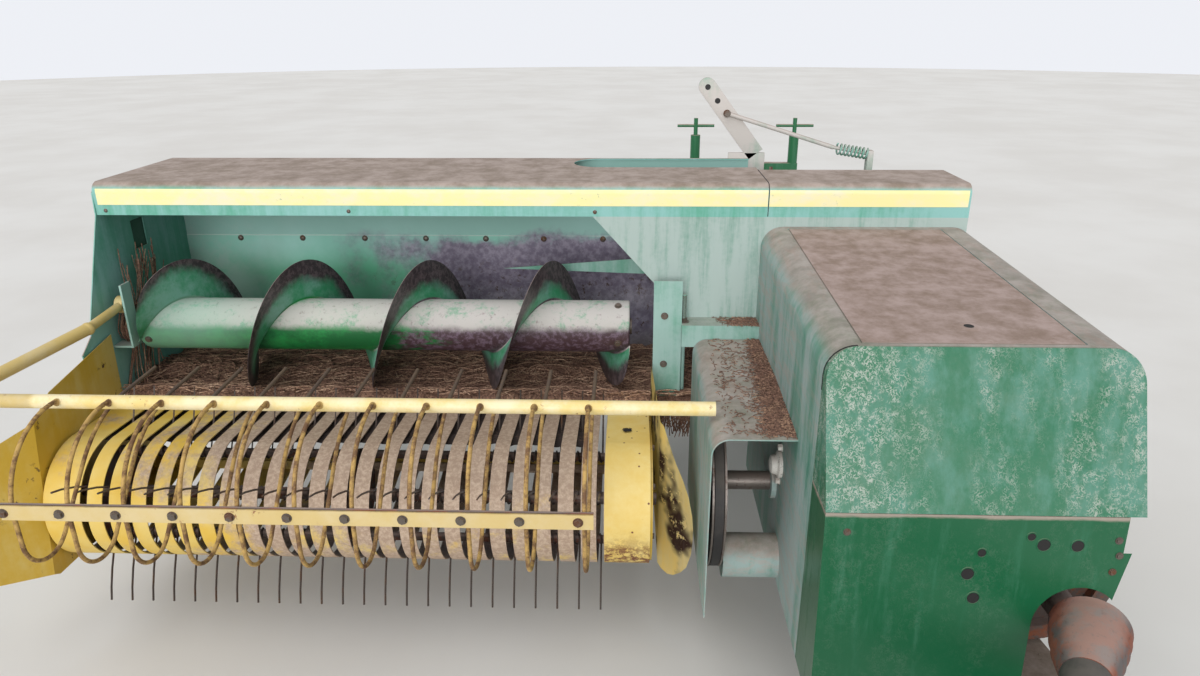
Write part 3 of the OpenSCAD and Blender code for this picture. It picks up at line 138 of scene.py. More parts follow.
class Finish:
    """One procedural finish, read from places on the baler and from the way a face points."""

    def __init__(self, name, roughness=0.6, metallic=0.0):
        self.material = bpy.data.materials.new(name)
        self.material.use_nodes = True
        self.nodes = self.material.node_tree.nodes
        self.links = self.material.node_tree.links
        self.shader = self.nodes["Principled BSDF"]
        self.shader.inputs["Roughness"].default_value = roughness
        self.shader.inputs["Metallic"].default_value = metallic
        coordinates = self.nodes.new("ShaderNodeTexCoord")
        origin = at(0, 0, 0)
        self.place = self.node("ShaderNodeMapping", Vector=coordinates.outputs["Object"],
                               Location=(-origin.x, -origin.y, -origin.z)).outputs["Vector"]
        self.normal = coordinates.outputs["Normal"]
        apart = self.node("ShaderNodeSeparateXYZ", Vector=self.place)
        self.x, self.y, self.z = apart.outputs
        self.up = self.node("ShaderNodeSeparateXYZ", Vector=self.normal).outputs["Z"]
        self.seed = 0.0

    def node(self, kind, settings=None, **inputs):
        made = self.nodes.new(kind)
        for key, value in (settings or {}).items():
            setattr(made, key, value)
        for key, value in inputs.items():
            self.feed(made.inputs[key.replace("_", " ")], value)
        return made

    def feed(self, socket, value):
        if isinstance(value, bpy.types.NodeSocket):
            self.links.new(value, socket)
        else:
            socket.default_value = value

    def maths(self, operation, first, second=0.0, third=0.0):
        made = self.nodes.new("ShaderNodeMath")
        made.operation = operation
        for socket, value in zip(made.inputs, (first, second, third)):
            self.feed(socket, value)
        return made.outputs[0]

    def times(self, first, second):
        return self.maths("MULTIPLY", first, second)

    def plus(self, first, second):
        return self.maths("ADD", first, second)

    def either(self, first, second):
        return self.maths("MAXIMUM", first, second)

    def opposite(self, value):
        return self.maths("SUBTRACT", 1.0, value)

    def step(self, value, low, high):
        """Rises smoothly from 0 at low to 1 at high, or falls where low is the higher."""
        made = self.node("ShaderNodeMapRange", {"interpolation_type": "SMOOTHSTEP"}, Value=value)
        falls = low > high
        made.inputs["From Min"].default_value = high if falls else low
        made.inputs["From Max"].default_value = low if falls else high
        made.inputs["To Min"].default_value = 1.0 if falls else 0.0
        made.inputs["To Max"].default_value = 0.0 if falls else 1.0
        return made.outputs["Result"]

    def stretched(self, stretch):
        self.seed += 3.7
        if stretch is None:
            stretch = (1, 1, 1)
        return self.node("ShaderNodeMapping", Vector=self.place, Scale=stretch,
                         Location=(self.seed, -self.seed, self.seed / 2)).outputs["Vector"]

    def cloud(self, scale, detail=5.0, roughness=0.6, stretch=None, distortion=0.0):
        return self.node("ShaderNodeTexNoise", Vector=self.stretched(stretch), Scale=scale, Detail=detail,
                         Roughness=roughness, Distortion=distortion).outputs["Fac"]

    def spots(self, scale, size, stretch=None):
        """Round spots, 1 inside and 0 outside, size from 0 to 0.5 of their spacing."""
        found = self.node("ShaderNodeTexVoronoi", Vector=self.stretched(stretch), Scale=scale)
        return self.step(found.outputs["Distance"], size, size * 0.6)

    def mix(self, share, first, second):
        made = self.nodes.new("ShaderNodeMix")
        made.data_type = "RGBA"
        self.feed(made.inputs["Factor"], share)
        self.feed(made.inputs[6], first)
        self.feed(made.inputs[7], second)
        return made.outputs[2]

    def paint(self, colour):
        self.links.new(colour, self.shader.inputs["Base Color"])

    def gloss(self, share, dull, shiny):
        """Roughness from dull where share is 0 to shiny where it is 1."""
        made = self.node("ShaderNodeMapRange", Value=share)
        made.inputs["To Min"].default_value, made.inputs["To Max"].default_value = dull, shiny
        self.links.new(made.outputs["Result"], self.shader.inputs["Roughness"])

    def metal(self, share):
        self.links.new(share, self.shader.inputs["Metallic"])

    def relief(self, height, strength=0.3, distance=0.002):
        made = self.node("ShaderNodeBump", Height=height)
        made.inputs["Strength"].default_value = strength
        made.inputs["Distance"].default_value = distance
        self.links.new(made.outputs["Normal"], self.shader.inputs["Normal"])


def painted(name, fresh, faded, haze=0.5, dust=DUST, cover=0.9, streaks=0.3, chips=0.12, specks=0.0,
            smears=0.0, seam=0.0, roughness=0.55):
    """Old paint: fresh under a haze that runs down in streaks, dust on what faces up, chips and specks."""
    finish = Finish(name, roughness)
    broad = finish.cloud(2.6, 5, 0.6)
    runs = finish.cloud(5.0, 5, 0.65, (5, 5, 0.45))
    fine = finish.cloud(70, 3, 0.7)
    hazy = finish.plus(finish.times(broad, 1.0 - streaks), finish.times(runs, streaks))
    hazy = finish.step(finish.plus(hazy, finish.times(fine, 0.12)), 0.80 - haze * 0.6, 1.02 - haze * 0.6)
    colour = finish.mix(hazy, fresh, faded)
    if smears:
        strokes = finish.cloud(26, 4, 0.7, (1.0, 0.35, 2.2), 0.6)
        rubbed = finish.times(finish.step(strokes, 0.46, 0.62), finish.step(broad, 0.3, 0.6))
        colour = finish.mix(finish.times(rubbed, smears), colour, dust)
    if specks:
        worms = finish.maths("ABSOLUTE", finish.maths("SUBTRACT", finish.cloud(135, 2, 0.5, (1, 1, 0.8), 1.2), 0.5))
        drift = finish.plus(finish.cloud(7.5, 4, 0.6, (1.5, 1, 0.5)), finish.times(finish.step(finish.x, 0.16, -0.16), 0.10))
        groups = finish.times(finish.step(drift, 0.40, 0.68), finish.step(finish.cloud(50, 3, 0.6), 0.36, 0.60))
        colour = finish.mix(finish.times(finish.times(finish.step(worms, 0.07, 0.03), groups), specks),
                            colour, PALE_SPECK)
    lying = finish.step(finish.plus(finish.up, finish.times(finish.cloud(11, 5, 0.7), 0.3)), 0.42, 0.98)
    settled = finish.mix(finish.step(finish.cloud(16, 6, 0.7), 0.3, 0.7), BROWN_DUST, dust)
    colour = finish.mix(finish.times(lying, cover), colour, settled)
    if seam:
        edge = finish.plus(finish.z, finish.times(finish.cloud(48, 4, 0.7, (0.25, 1, 1)), 0.012))
        colour = finish.mix(finish.times(finish.step(edge, seam - 0.004, seam + 0.003), 0.75), colour, dust)
    if chips:
        knocked = finish.step(finish.cloud(38, 6, 0.75), 0.80 - chips, 0.84 - chips)
        knocked = finish.times(knocked, finish.step(finish.cloud(6, 3, 0.6), 0.5, 0.62))
        colour = finish.mix(knocked, colour, DARK_RUST)
    finish.paint(colour)
    finish.gloss(finish.either(hazy, lying), roughness - 0.12, 0.88)
    finish.relief(finish.plus(finish.cloud(9, 3, 0.5), finish.times(fine, 0.35)), 0.22, 0.003)
    return finish.material


def rusty(name, base, rust, share=0.5, roughness=0.75, metallic=0.0, dusty=0.5, grain=90):
    """Bare or once painted iron, with rust in patches and dust on top."""
    finish = Finish(name, roughness, metallic)
    patches = finish.step(finish.plus(finish.cloud(14, 6, 0.7), finish.times(finish.cloud(grain, 3, 0.7), 0.25)),
                          0.86 - share * 0.6, 0.98 - share * 0.5)
    colour = finish.mix(patches, base, rust)
    colour = finish.mix(finish.step(finish.cloud(grain * 1.6, 3, 0.8), 0.55, 0.75), colour, DARK_RUST)
    lying = finish.step(finish.plus(finish.up, finish.times(finish.cloud(20, 4, 0.7), 0.4)), 0.6, 1.1)
    finish.paint(finish.mix(finish.times(lying, dusty), colour, DUST))
    finish.gloss(patches, roughness - 0.1, 0.92)
    finish.relief(finish.cloud(grain, 4, 0.75), 0.35, 0.0015)
    return finish.material


def back_wall_paint():
    """Green sheet, worn to dull steel where the hay has been pushed along it."""
    finish = Finish("back_wall_paint", 0.5)
    broad = finish.cloud(2.2, 5, 0.6)
    above = finish.step(finish.z, 0.95, 0.96)
    green = finish.mix(finish.step(broad, 0.35, 0.7), tint(124, 184, 166), tint(152, 200, 190))
    deeper = finish.step(finish.plus(finish.z, finish.times(broad, 0.10)), 0.98, 0.86)
    green = finish.mix(finish.times(deeper, 0.7), green, tint(56, 160, 108))
    green = finish.mix(finish.times(above, 0.6), green, tint(136, 170, 164))
    chalk = finish.times(finish.step(finish.x, -1.70, -2.12), finish.step(finish.cloud(5, 5, 0.7), 0.3, 0.62))
    green = finish.mix(finish.times(chalk, 0.7), green, tint(158, 176, 172))
    line = finish.times(finish.step(finish.z, 0.9535, 0.9545), finish.step(finish.z, 0.9575, 0.9565))
    green = finish.mix(finish.times(line, 0.6), green, tint(196, 210, 202))
    drift = finish.plus(finish.x, finish.times(finish.cloud(3.2, 5, 0.65), 1.3))
    height = finish.plus(finish.z, finish.times(finish.cloud(4.5, 5, 0.7), -0.24))
    worn = finish.times(finish.step(drift, -0.95, -0.62), finish.step(height, 0.86, 0.80))
    steel = finish.mix(finish.step(finish.cloud(45, 4, 0.7), 0.36, 0.66), tint(98, 88, 108), tint(134, 126, 142))
    colour = finish.mix(worn, green, steel)
    scabs = finish.times(finish.step(finish.cloud(44, 5, 0.75), 0.56, 0.64), finish.step(finish.z, 0.92, 0.78))
    colour = finish.mix(finish.times(scabs, finish.step(finish.x, -1.7, -1.1)), colour, DARK_RUST)
    # Darker and browner low in the bend under the auger: painted shadow of the auger tube.
    low = finish.step(finish.plus(finish.z, finish.times(broad, 0.10)), 0.72, 0.64)
    colour = finish.mix(finish.times(low, 0.8), colour, tint(70, 58, 52))
    finish.paint(colour)
    finish.gloss(worn, 0.55, 0.42)
    finish.relief(finish.cloud(8, 3, 0.5), 0.15, 0.004)
    return finish.material


def auger_paint():
    """Green, dusty on top, bright below, worn to dark metal towards the case."""
    finish = Finish("auger_paint", 0.45)
    blotch = finish.cloud(9, 6, 0.75)
    grain = finish.cloud(60, 4, 0.75)
    away = finish.maths("SQRT", finish.plus(
        finish.maths("POWER", finish.maths("SUBTRACT", finish.y, 0.015), 2.0),
        finish.maths("POWER", finish.maths("SUBTRACT", finish.z, 0.79), 2.0)))
    flight = finish.step(away, 0.081, 0.086)
    green = finish.mix(finish.step(blotch, 0.38, 0.6), tint(26, 128, 62), tint(14, 92, 46))
    bare = finish.mix(finish.step(grain, 0.45, 0.62), tint(66, 46, 52), tint(104, 86, 100))
    drift = finish.plus(finish.x, finish.times(finish.cloud(5.5, 5, 0.7, (1, 2.5, 2.5)), 1.1))
    tube = finish.mix(finish.step(drift, -0.78, -0.66), green, bare)
    top = finish.step(finish.plus(finish.up, finish.times(blotch, 0.5)), 0.30, 0.62)
    powder = finish.mix(finish.step(grain, 0.56, 0.72), tint(192, 188, 182), tint(150, 138, 134))
    powder = finish.mix(finish.times(finish.step(finish.cloud(13, 6, 0.8), 0.50, 0.64), 0.7), powder, tint(96, 162, 126))
    tube = finish.mix(finish.times(top, 0.88), tube, powder)
    tube = finish.mix(finish.times(finish.step(finish.x, -1.62, -1.95), 0.55), tube, tint(128, 168, 150))
    rim = finish.plus(away, finish.times(finish.cloud(7, 4, 0.7), 0.10))
    rim = finish.plus(rim, finish.times(finish.step(finish.x, -1.9, -1.2), 0.035))
    blade = finish.mix(finish.step(blotch, 0.35, 0.65), tint(44, 134, 88), tint(112, 162, 144))
    blade = finish.mix(finish.step(rim, 0.185, 0.228), blade, finish.mix(
        finish.step(grain, 0.42, 0.6), tint(52, 44, 46), tint(88, 76, 78)))
    blade = finish.mix(finish.times(finish.step(finish.up, 0.35, 0.95), 0.6), blade, DUST)
    finish.paint(finish.mix(flight, tube, blade))
    finish.gloss(top, 0.38, 0.85)
    finish.relief(finish.cloud(110, 3, 0.7), 0.2, 0.0012)
    return finish.material


def band_paint():
    """Yellow bands, scoured to dusty brown on top and at the case end, dark below."""
    finish = Finish("band_paint", 0.6)
    blotch = finish.cloud(7.5, 6, 0.75)
    grain = finish.cloud(95, 4, 0.75)
    yellow = finish.mix(finish.step(finish.cloud(5, 4, 0.6), 0.35, 0.65), tint(214, 176, 66), tint(216, 190, 110))
    dirt = finish.mix(finish.step(grain, 0.38, 0.68), tint(160, 136, 116), tint(190, 168, 146))
    reach = finish.plus(finish.times(finish.step(finish.x, -2.05, -1.45), 0.34), blotch)
    reach = finish.plus(reach, finish.times(finish.step(finish.z, 0.40, 0.58), 0.14))
    colour = finish.mix(finish.step(reach, 0.62, 0.84), yellow, dirt)
    low = finish.step(finish.plus(finish.z, finish.times(blotch, 0.08)), 0.33, 0.27)
    colour = finish.mix(finish.times(low, 0.85), colour, tint(74, 66, 72))
    clean = finish.step(finish.x, -0.683, -0.681)
    plain = finish.mix(finish.step(blotch, 0.35, 0.7), tint(224, 192, 104), tint(228, 204, 132))
    rust_low = finish.times(finish.step(finish.plus(finish.z, finish.times(blotch, 0.16)), 0.50, 0.40),
                            finish.step(finish.cloud(40, 5, 0.8), 0.42, 0.55))
    plain = finish.mix(rust_low, plain, RUST)
    plain = finish.mix(finish.spots(28, 0.10), plain, RUST)
    colour = finish.mix(clean, colour, plain)
    finish.paint(colour)
    finish.relief(finish.plus(grain, blotch), 0.2, 0.0015)
    return finish.material


def guard_paint():
    """The windguard: cream yellow pipe, arm and bar, and rusty rods."""
    finish = Finish("guard_paint", 0.5)
    line_y, line_z = edges_of("windguard")[0].y, 0.806
    away = finish.maths("SQRT", finish.plus(
        finish.maths("POWER", finish.plus(finish.y, 0.580), 2.0),
        finish.maths("POWER", finish.maths("SUBTRACT", finish.z, line_z), 2.0)))
    pipe = finish.step(away, 0.0195, 0.0185)
    arm = finish.step(finish.x, -2.03, -2.05)
    bar = finish.times(finish.step(finish.y, line_y + 0.0062, line_y + 0.0050),
                       finish.times(finish.step(finish.z, 0.628, 0.630), finish.step(finish.z, 0.668, 0.666)))
    painted_part = finish.either(pipe, finish.either(arm, bar))
    blotch = finish.cloud(9, 6, 0.7)
    cream = finish.mix(finish.step(blotch, 0.35, 0.68), tint(226, 200, 124), tint(234, 220, 178))
    cream = finish.mix(finish.times(arm, 0.6), cream, tint(176, 150, 86))
    cream = finish.mix(finish.times(bar, 0.7), cream, tint(194, 170, 116))
    scabs = finish.times(finish.step(finish.cloud(34, 6, 0.8), 0.60, 0.66), finish.step(finish.cloud(5, 3, 0.6), 0.46, 0.6))
    cream = finish.mix(scabs, cream, tint(132, 78, 50))
    rod = finish.mix(finish.step(finish.cloud(26, 5, 0.75), 0.38, 0.62), tint(104, 74, 48), tint(184, 150, 86))
    tail = finish.times(finish.step(finish.z, 0.640, 0.700), finish.step(finish.y, -0.46, -0.38))
    rod = finish.mix(finish.times(tail, 0.9), rod, tint(86, 72, 64))
    finish.paint(finish.mix(painted_part, rod, cream))
    finish.gloss(painted_part, 0.8, 0.45)
    finish.relief(finish.cloud(120, 3, 0.7), 0.2, 0.001)
    return finish.material


def hay_straw(name, dark, middle, light):
    finish = Finish(name, 0.85)
    coarse = finish.cloud(22, 3, 0.6)
    fine = finish.cloud(160, 3, 0.8)
    colour = finish.mix(finish.step(fine, 0.3, 0.7), dark, middle)
    colour = finish.mix(finish.times(finish.step(coarse, 0.45, 0.64), finish.step(fine, 0.42, 0.68)), colour, light)
    finish.paint(colour)
    finish.relief(finish.cloud(240, 2, 0.6), 0.5, 0.002)
    return finish.material


def rubber(name, base, dusty):
    finish = Finish(name, 0.8)
    dull = finish.step(finish.plus(finish.cloud(8, 5, 0.7), finish.times(finish.up, 0.25)), 0.4, 0.85)
    finish.paint(finish.mix(finish.times(dull, dusty), base, tint(112, 104, 96)))
    finish.gloss(dull, 0.62, 0.92)
    finish.relief(finish.cloud(150, 3, 0.6), 0.2, 0.0008)
    return finish.material


def stripe_yellow():
    finish = Finish("stripe_yellow", 0.5)
    worn = finish.step(finish.cloud(14, 6, 0.75, (0.6, 1, 1)), 0.40, 0.72)
    colour = finish.mix(worn, tint(236, 224, 158), tint(226, 220, 190))
    scuffs = finish.times(finish.step(finish.cloud(60, 5, 0.8), 0.60, 0.68), finish.step(finish.cloud(5, 2, 0.5), 0.5, 0.66))
    finish.paint(finish.mix(scuffs, colour, tint(126, 160, 134)))
    finish.relief(finish.cloud(90, 3, 0.6), 0.1, 0.0005)
    return finish.material


def pale_floor():
    finish = Finish("pale_floor", 0.9)
    finish.paint(finish.mix(finish.step(finish.cloud(0.7, 4, 0.6), 0.3, 0.7), tint(214, 211, 205), tint(222, 220, 215)))
    return finish.material


GREEN_FACE = painted("green_face", tint(84, 158, 134), tint(136, 184, 178), 0.62, cover=0.95, streaks=0.45, chips=0.12)
GREEN_GUSSET = painted("green_gusset", tint(96, 142, 124), tint(164, 180, 174), 0.68, cover=0.9, streaks=0.6, chips=0.08)
GREEN_SIDE = painted("green_side", tint(82, 140, 120), tint(152, 170, 166), 0.66, cover=0.72, streaks=0.6, chips=0.08,
                     smears=0.5)
GREEN_UPPER = painted("green_upper", tint(28, 104, 72), tint(84, 134, 118), 0.50, cover=0.4, streaks=0.5, chips=0.0,
                      specks=0.85, roughness=0.45)
GREEN_LOWER = painted("green_lower", tint(16, 88, 54), tint(36, 104, 74), 0.40, cover=0.3, streaks=0.7, chips=0.04,
                      specks=0.08, roughness=0.42, seam=0.780)
GREEN_LID = painted("green_lid", tint(112, 126, 110), tint(158, 142, 132), 0.8, dust=tint(170, 150, 142), cover=1.0,
                    streaks=0.2, chips=0.14, smears=0.6)
GREEN_FRAME = painted("green_frame", DEEP_GREEN, tint(70, 112, 88), 0.45, cover=0.8, streaks=0.3, chips=0.2)
# Dark green for the cover in the end panel's window: painted shade, standing for the dark seen through the window.
WINDOW_SHADE_GREEN = painted("window_shade_green", tint(24, 66, 46), tint(62, 92, 82), 0.45, cover=0.6, streaks=0.5, chips=0.12)
GREEN_CASE = painted("green_case", tint(26, 100, 60), tint(82, 134, 110), 0.45, cover=0.9, streaks=0.5, chips=0.14)
ARM_PAINT = painted("arm_paint", tint(112, 156, 134), tint(192, 186, 180), 0.72, cover=0.5, streaks=0.3, chips=0.08)
GREEN_POST = painted("green_post", tint(88, 150, 126), tint(150, 180, 172), 0.6, cover=0.5, streaks=0.4, chips=0.1)
YELLOW_FLARE = painted("yellow_flare", tint(196, 160, 50), tint(204, 180, 104), 0.5, cover=0.2, streaks=0.3, chips=0.22)
YELLOW_NEAR = painted("yellow_near", tint(248, 220, 132), tint(240, 222, 164), 0.6, cover=0.3, streaks=0.6, chips=0.4)
YELLOW_RIM = painted("yellow_rim", FRESH_YELLOW, PALE_YELLOW, 0.4, cover=0.6, streaks=0.3, chips=0.16)
IRON = rusty("iron", tint(74, 62, 56), RUST, 0.45)
BRIGHT_IRON = rusty("bright_iron", tint(112, 104, 98), tint(96, 66, 50), 0.3, 0.5, 0.6)
SPRING_WIRE = rusty("spring_wire", tint(70, 60, 54), tint(92, 66, 48), 0.4, 0.55, 0.4, 0.2, 140)
PALE_CASTING = rusty("pale_casting", tint(206, 202, 194), tint(150, 132, 116), 0.25, 0.7, 0.0, 0.4)
ZINC = rusty("zinc", tint(160, 160, 156), tint(120, 98, 78), 0.22, 0.45, 0.7, 0.5)
BOLT_METAL = rusty("bolt_metal", tint(96, 88, 80), tint(104, 70, 50), 0.4, 0.55, 0.4, 0.2, 160)
BELL_RUST = rusty("bell_rust", tint(88, 82, 80), tint(128, 74, 54), 0.62, 0.8, 0.0, 0.45, 50)
GUARD_TUBE = rubber("guard_tube", tint(58, 56, 54), 0.7)
BLACK_RUBBER = rubber("black_rubber", tint(34, 32, 32), 0.45)
TYRE_RUBBER = rubber("tyre_rubber", tint(40, 38, 37), 0.7)
# Near black: painted shade in holes and gaps, and the dark joint of the hood's seam.
HOLE_SHADE_AND_JOINT = rubber("hole_shade_and_joint", tint(14, 13, 12), 0.05)
WALL_PAINT = back_wall_paint()
AUGER_PAINT = auger_paint()
BAND_PAINT = band_paint()
GUARD_PAINT = guard_paint()
STRAW = hay_straw("hay_straw", tint(76, 54, 46), tint(150, 114, 94), tint(190, 154, 126))
# Very dark straw: hay whose dark tone is painted shade, for the mat under the bands.
PAINTED_SHADE_STRAW = hay_straw("painted_shade_straw", tint(30, 24, 22), tint(58, 44, 38), tint(92, 72, 60))
PALE_STRAW = hay_straw("pale_straw", tint(134, 102, 84), tint(188, 152, 126), tint(220, 190, 162))
STRIPE = stripe_yellow()

FINISHES = {
    GREEN_FACE: ("hood", "end_panel"),
    GREEN_GUSSET: ("gusset_panel",),
    GREEN_SIDE: ("drive_shield", "belt_guard"),
    GREEN_UPPER: ("shield_upper_panel",),
    GREEN_LOWER: ("shield_lower_panel",),
    GREEN_LID: ("shield_lid",),
    GREEN_FRAME: ("front_frame", "platform_frame", "axle", "tongue", "gearbox"),
    GREEN_CASE: ("bale_case", "density_rails", "bale_chute", "knotter_cover", "twine_box", "twine_box_lid"),
    GREEN_POST: ("windguard_post", "hay_guide", "feeder_linkage", "lift_bracket"),
    WALL_PAINT: ("platform",),
    AUGER_PAINT: ("auger",),
    BAND_PAINT: ("strippers",),
    GUARD_PAINT: ("windguard",),
    YELLOW_FLARE: ("far_flare", "pickup_frame"),
    YELLOW_NEAR: ("near_flare",),
    YELLOW_RIM: ("near_rim", "far_rim"),
    IRON: ("plunger", "crank_and_rod", "flywheel", "knotter", "needle_yoke", "metering_wheel"),
    BRIGHT_IRON: ("pto_shaft", "belt_sheave"),
    SPRING_WIRE: ("tine_reel",),
    ZINC: ("jack_leg",),
    BELL_RUST: ("pto_guard",),
    TYRE_RUBBER: ("near_tyre", "far_tyre"),
}
for finish, nodes in FINISHES.items():
    for node in nodes:
        SOLIDS[node].data.materials.clear()
        SOLIDS[node].data.materials.append(finish)


# Making pieces


def piece(name, mesh, finish, body, smooth=40, stands_for=()):
    """Puts a finished bmesh or mesh on its body, shaded smooth up to an angle in degrees."""
    if isinstance(mesh, bmesh.types.BMesh):
        shape = bpy.data.meshes.new(name)
        mesh.to_mesh(shape)
        mesh.free()
    else:
        shape = mesh
        shape.name = name
    made = bpy.data.objects.new(name, shape)
    bpy.context.scene.collection.objects.link(made)
    shape.materials.clear()
    shape.materials.append(finish)
    if smooth:
        shape.shade_smooth()
        shape.set_sharp_from_angle(angle=math.radians(smooth))
    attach(made, body)
    if stands_for:
        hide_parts(*stands_for)
    return made


def turn_to(direction):
    """The turn that takes +Z to a direction."""
    return Vector(direction).to_track_quat("Z", "Y").to_matrix().to_4x4()


def add_rod(bm, start, end, radius, sides=12, end_radius=None):
    start, end = Vector(start), Vector(end)
    way = end - start
    place = Matrix.Translation((start + end) / 2) @ turn_to(way)
    bmesh.ops.create_cone(bm, cap_ends=True, segments=sides, radius1=radius,
                          radius2=radius if end_radius is None else end_radius, depth=way.length, matrix=place)


def add_block(bm, low, high, bevel=0.0, turn=None):
    low, high = Vector(low), Vector(high)
    made = bmesh.ops.create_cube(bm, size=1.0)["verts"]
    size = high - low
    bmesh.ops.scale(bm, vec=size, verts=made)
    if turn is not None:
        bmesh.ops.rotate(bm, cent=(0, 0, 0), matrix=turn, verts=made)
    bmesh.ops.translate(bm, vec=(low + high) / 2, verts=made)
    if bevel:
        sides = list({edge for vert in made for edge in vert.link_edges})
        bmesh.ops.bevel(bm, geom=sides, offset=bevel, segments=2, profile=0.5, affect="EDGES", material=-1)


def add_bolt(bm, place, direction, size=0.010, height=0.007, washer=True):
    """A hexagon head on its washer; size is half the head's width."""
    place, direction = Vector(place), Vector(direction).normalized()
    if washer:
        add_rod(bm, place - direction * 0.001, place + direction * 0.0015, size * 1.35, 14)
    add_rod(bm, place + direction * 0.0012, place + direction * height, size * 1.08, 6, size * 1.04)


def add_dome(bm, place, direction, radius, height):
    """A rivet's or carriage bolt's round head."""
    made = bmesh.ops.create_uvsphere(bm, u_segments=12, v_segments=6, radius=1.0)["verts"]
    bmesh.ops.scale(bm, vec=(radius, radius, height), verts=made)
    bmesh.ops.transform(bm, matrix=Matrix.Translation(Vector(place)) @ turn_to(direction), verts=made)


def add_spun(bm, outline, centre, axis, out, steps=48, closed=False):
    """Turns an outline of (along the axis, away from it) round the axis."""
    axis, out, centre = Vector(axis), Vector(out), Vector(centre)
    verts = [bm.verts.new(centre + axis * along + out * away) for along, away in outline]
    rim = [bm.edges.new(pair) for pair in zip(verts, verts[1:])]
    if closed:
        rim.append(bm.edges.new((verts[-1], verts[0])))
    made = bmesh.ops.spin(bm, geom=verts + rim, cent=centre, axis=axis, angle=math.tau, steps=steps, use_merge=True)
    bmesh.ops.remove_doubles(bm, verts=[v for v in bm.verts], dist=0.00002)
    return made


def outward(bm):
    bmesh.ops.recalc_face_normals(bm, faces=bm.faces[:])
    return bm


def add_strip(bm, line, start, reach, thick):
    """A sheet that follows a line of places, swept by reach from start, with a thickness."""
    verts = [bm.verts.new(Vector(start) + Vector(point)) for point in line]
    edges = [bm.edges.new(pair) for pair in zip(verts, verts[1:])]
    swept = bmesh.ops.extrude_edge_only(bm, edges=edges)["geom"]
    moved = [part for part in swept if isinstance(part, bmesh.types.BMVert)]
    faces = [part for part in swept if isinstance(part, bmesh.types.BMFace)]
    bmesh.ops.translate(bm, vec=reach, verts=moved)
    bmesh.ops.recalc_face_normals(bm, faces=faces)
    if thick:
        bmesh.ops.solidify(bm, geom=faces, thickness=thick)
    return faces


def wire_mesh(name, lines, radius, resolution=1, cyclic=False):
    """A mesh of round wires along lists of places."""
    curve = bpy.data.curves.new(name, "CURVE")
    curve.dimensions, curve.bevel_depth, curve.bevel_resolution = "3D", radius, resolution
    curve.use_fill_caps = True
    for line in lines:
        spline = curve.splines.new("POLY")
        spline.points.add(len(line) - 1)
        spline.use_cyclic_u = cyclic
        for point, place in zip(spline.points, line):
            point.co = (*place, 1)
    holder = bpy.data.objects.new(name, curve)
    bpy.context.scene.collection.objects.link(holder)
    bpy.context.view_layer.update()
    mesh = bpy.data.meshes.new_from_object(holder)
    bpy.data.objects.remove(holder)
    bpy.data.curves.remove(curve)
    return mesh


# Hood: stripe, seam, rivets and the wall's bolts


def hood_profile(low, high, proud, round_r=0.028, top=1.220):
    """The hood's front from one height to another, a little proud of the sheet."""
    line = [Vector((0, -proud, low)), Vector((0, -proud, min(high, top - round_r)))]
    centre = Vector((0, round_r, top - round_r))
    if high > top - round_r:
        last = math.asin(min(1.0, (high - top + round_r) / round_r))
        for k in range(1, 7):
            angle = last * k / 6
            line.append(centre + Vector((0, -math.cos(angle), math.sin(angle))) * (round_r + proud))
    return line


def dress_hood():
    low, high = edges_of("hood")
    seam = -0.2335
    for name, start, end in (("stripe_far", low.x + 0.010, seam - 0.002), ("stripe_near", seam + 0.002, high.x - 0.006)):
        bm = bmesh.new()
        add_strip(bm, hood_profile(1.157, 1.203, 0.0003), at(start, 0, 0), X * (end - start), -0.0005)
        piece(name, outward(bm), STRIPE, "baler", 60)
    bm = bmesh.new()
    line = hood_profile(1.129, 1.220, 0.0002) + [Vector((0, 0.238, 1.2202))]
    add_strip(bm, line, at(seam - 0.0011, 0, 0), X * 0.0022, -0.0006)
    piece("hood_seam", outward(bm), HOLE_SHADE_AND_JOINT, "baler", 60)
    bm = bmesh.new()
    for x in (-0.722, -1.43, -2.143):
        add_dome(bm, at(x, 0, 1.140), -Y, 0.006, 0.003)
    for x in (-1.981, -1.762, -1.543, -1.329, -1.120, -0.919, -0.715, -0.50, -0.29):
        add_dome(bm, at(x, 0.459, 0.945), -Y, 0.0105, 0.006)
    for x in (-2.10, -1.70, -1.30, -0.90, -0.50):
        add_bolt(bm, at(x, 0.465, 1.19), Y, 0.008)
        add_bolt(bm, at(x, 0.465, 0.90), Y, 0.008)
    piece("hood_rivets", outward(bm), BOLT_METAL, "baler")
    # A dark green cover in the end panel's window: a plate whose dark tone is painted shade for the dark beyond the
    # window.
    bm = bmesh.new()
    add_block(bm, at(-2.1990, 0.138, 0.972), at(-2.1752, 0.232, 1.088), 0.004)
    piece("window_cover_painted_shade", bm, WINDOW_SHADE_GREEN, "baler", 30)


# Auger


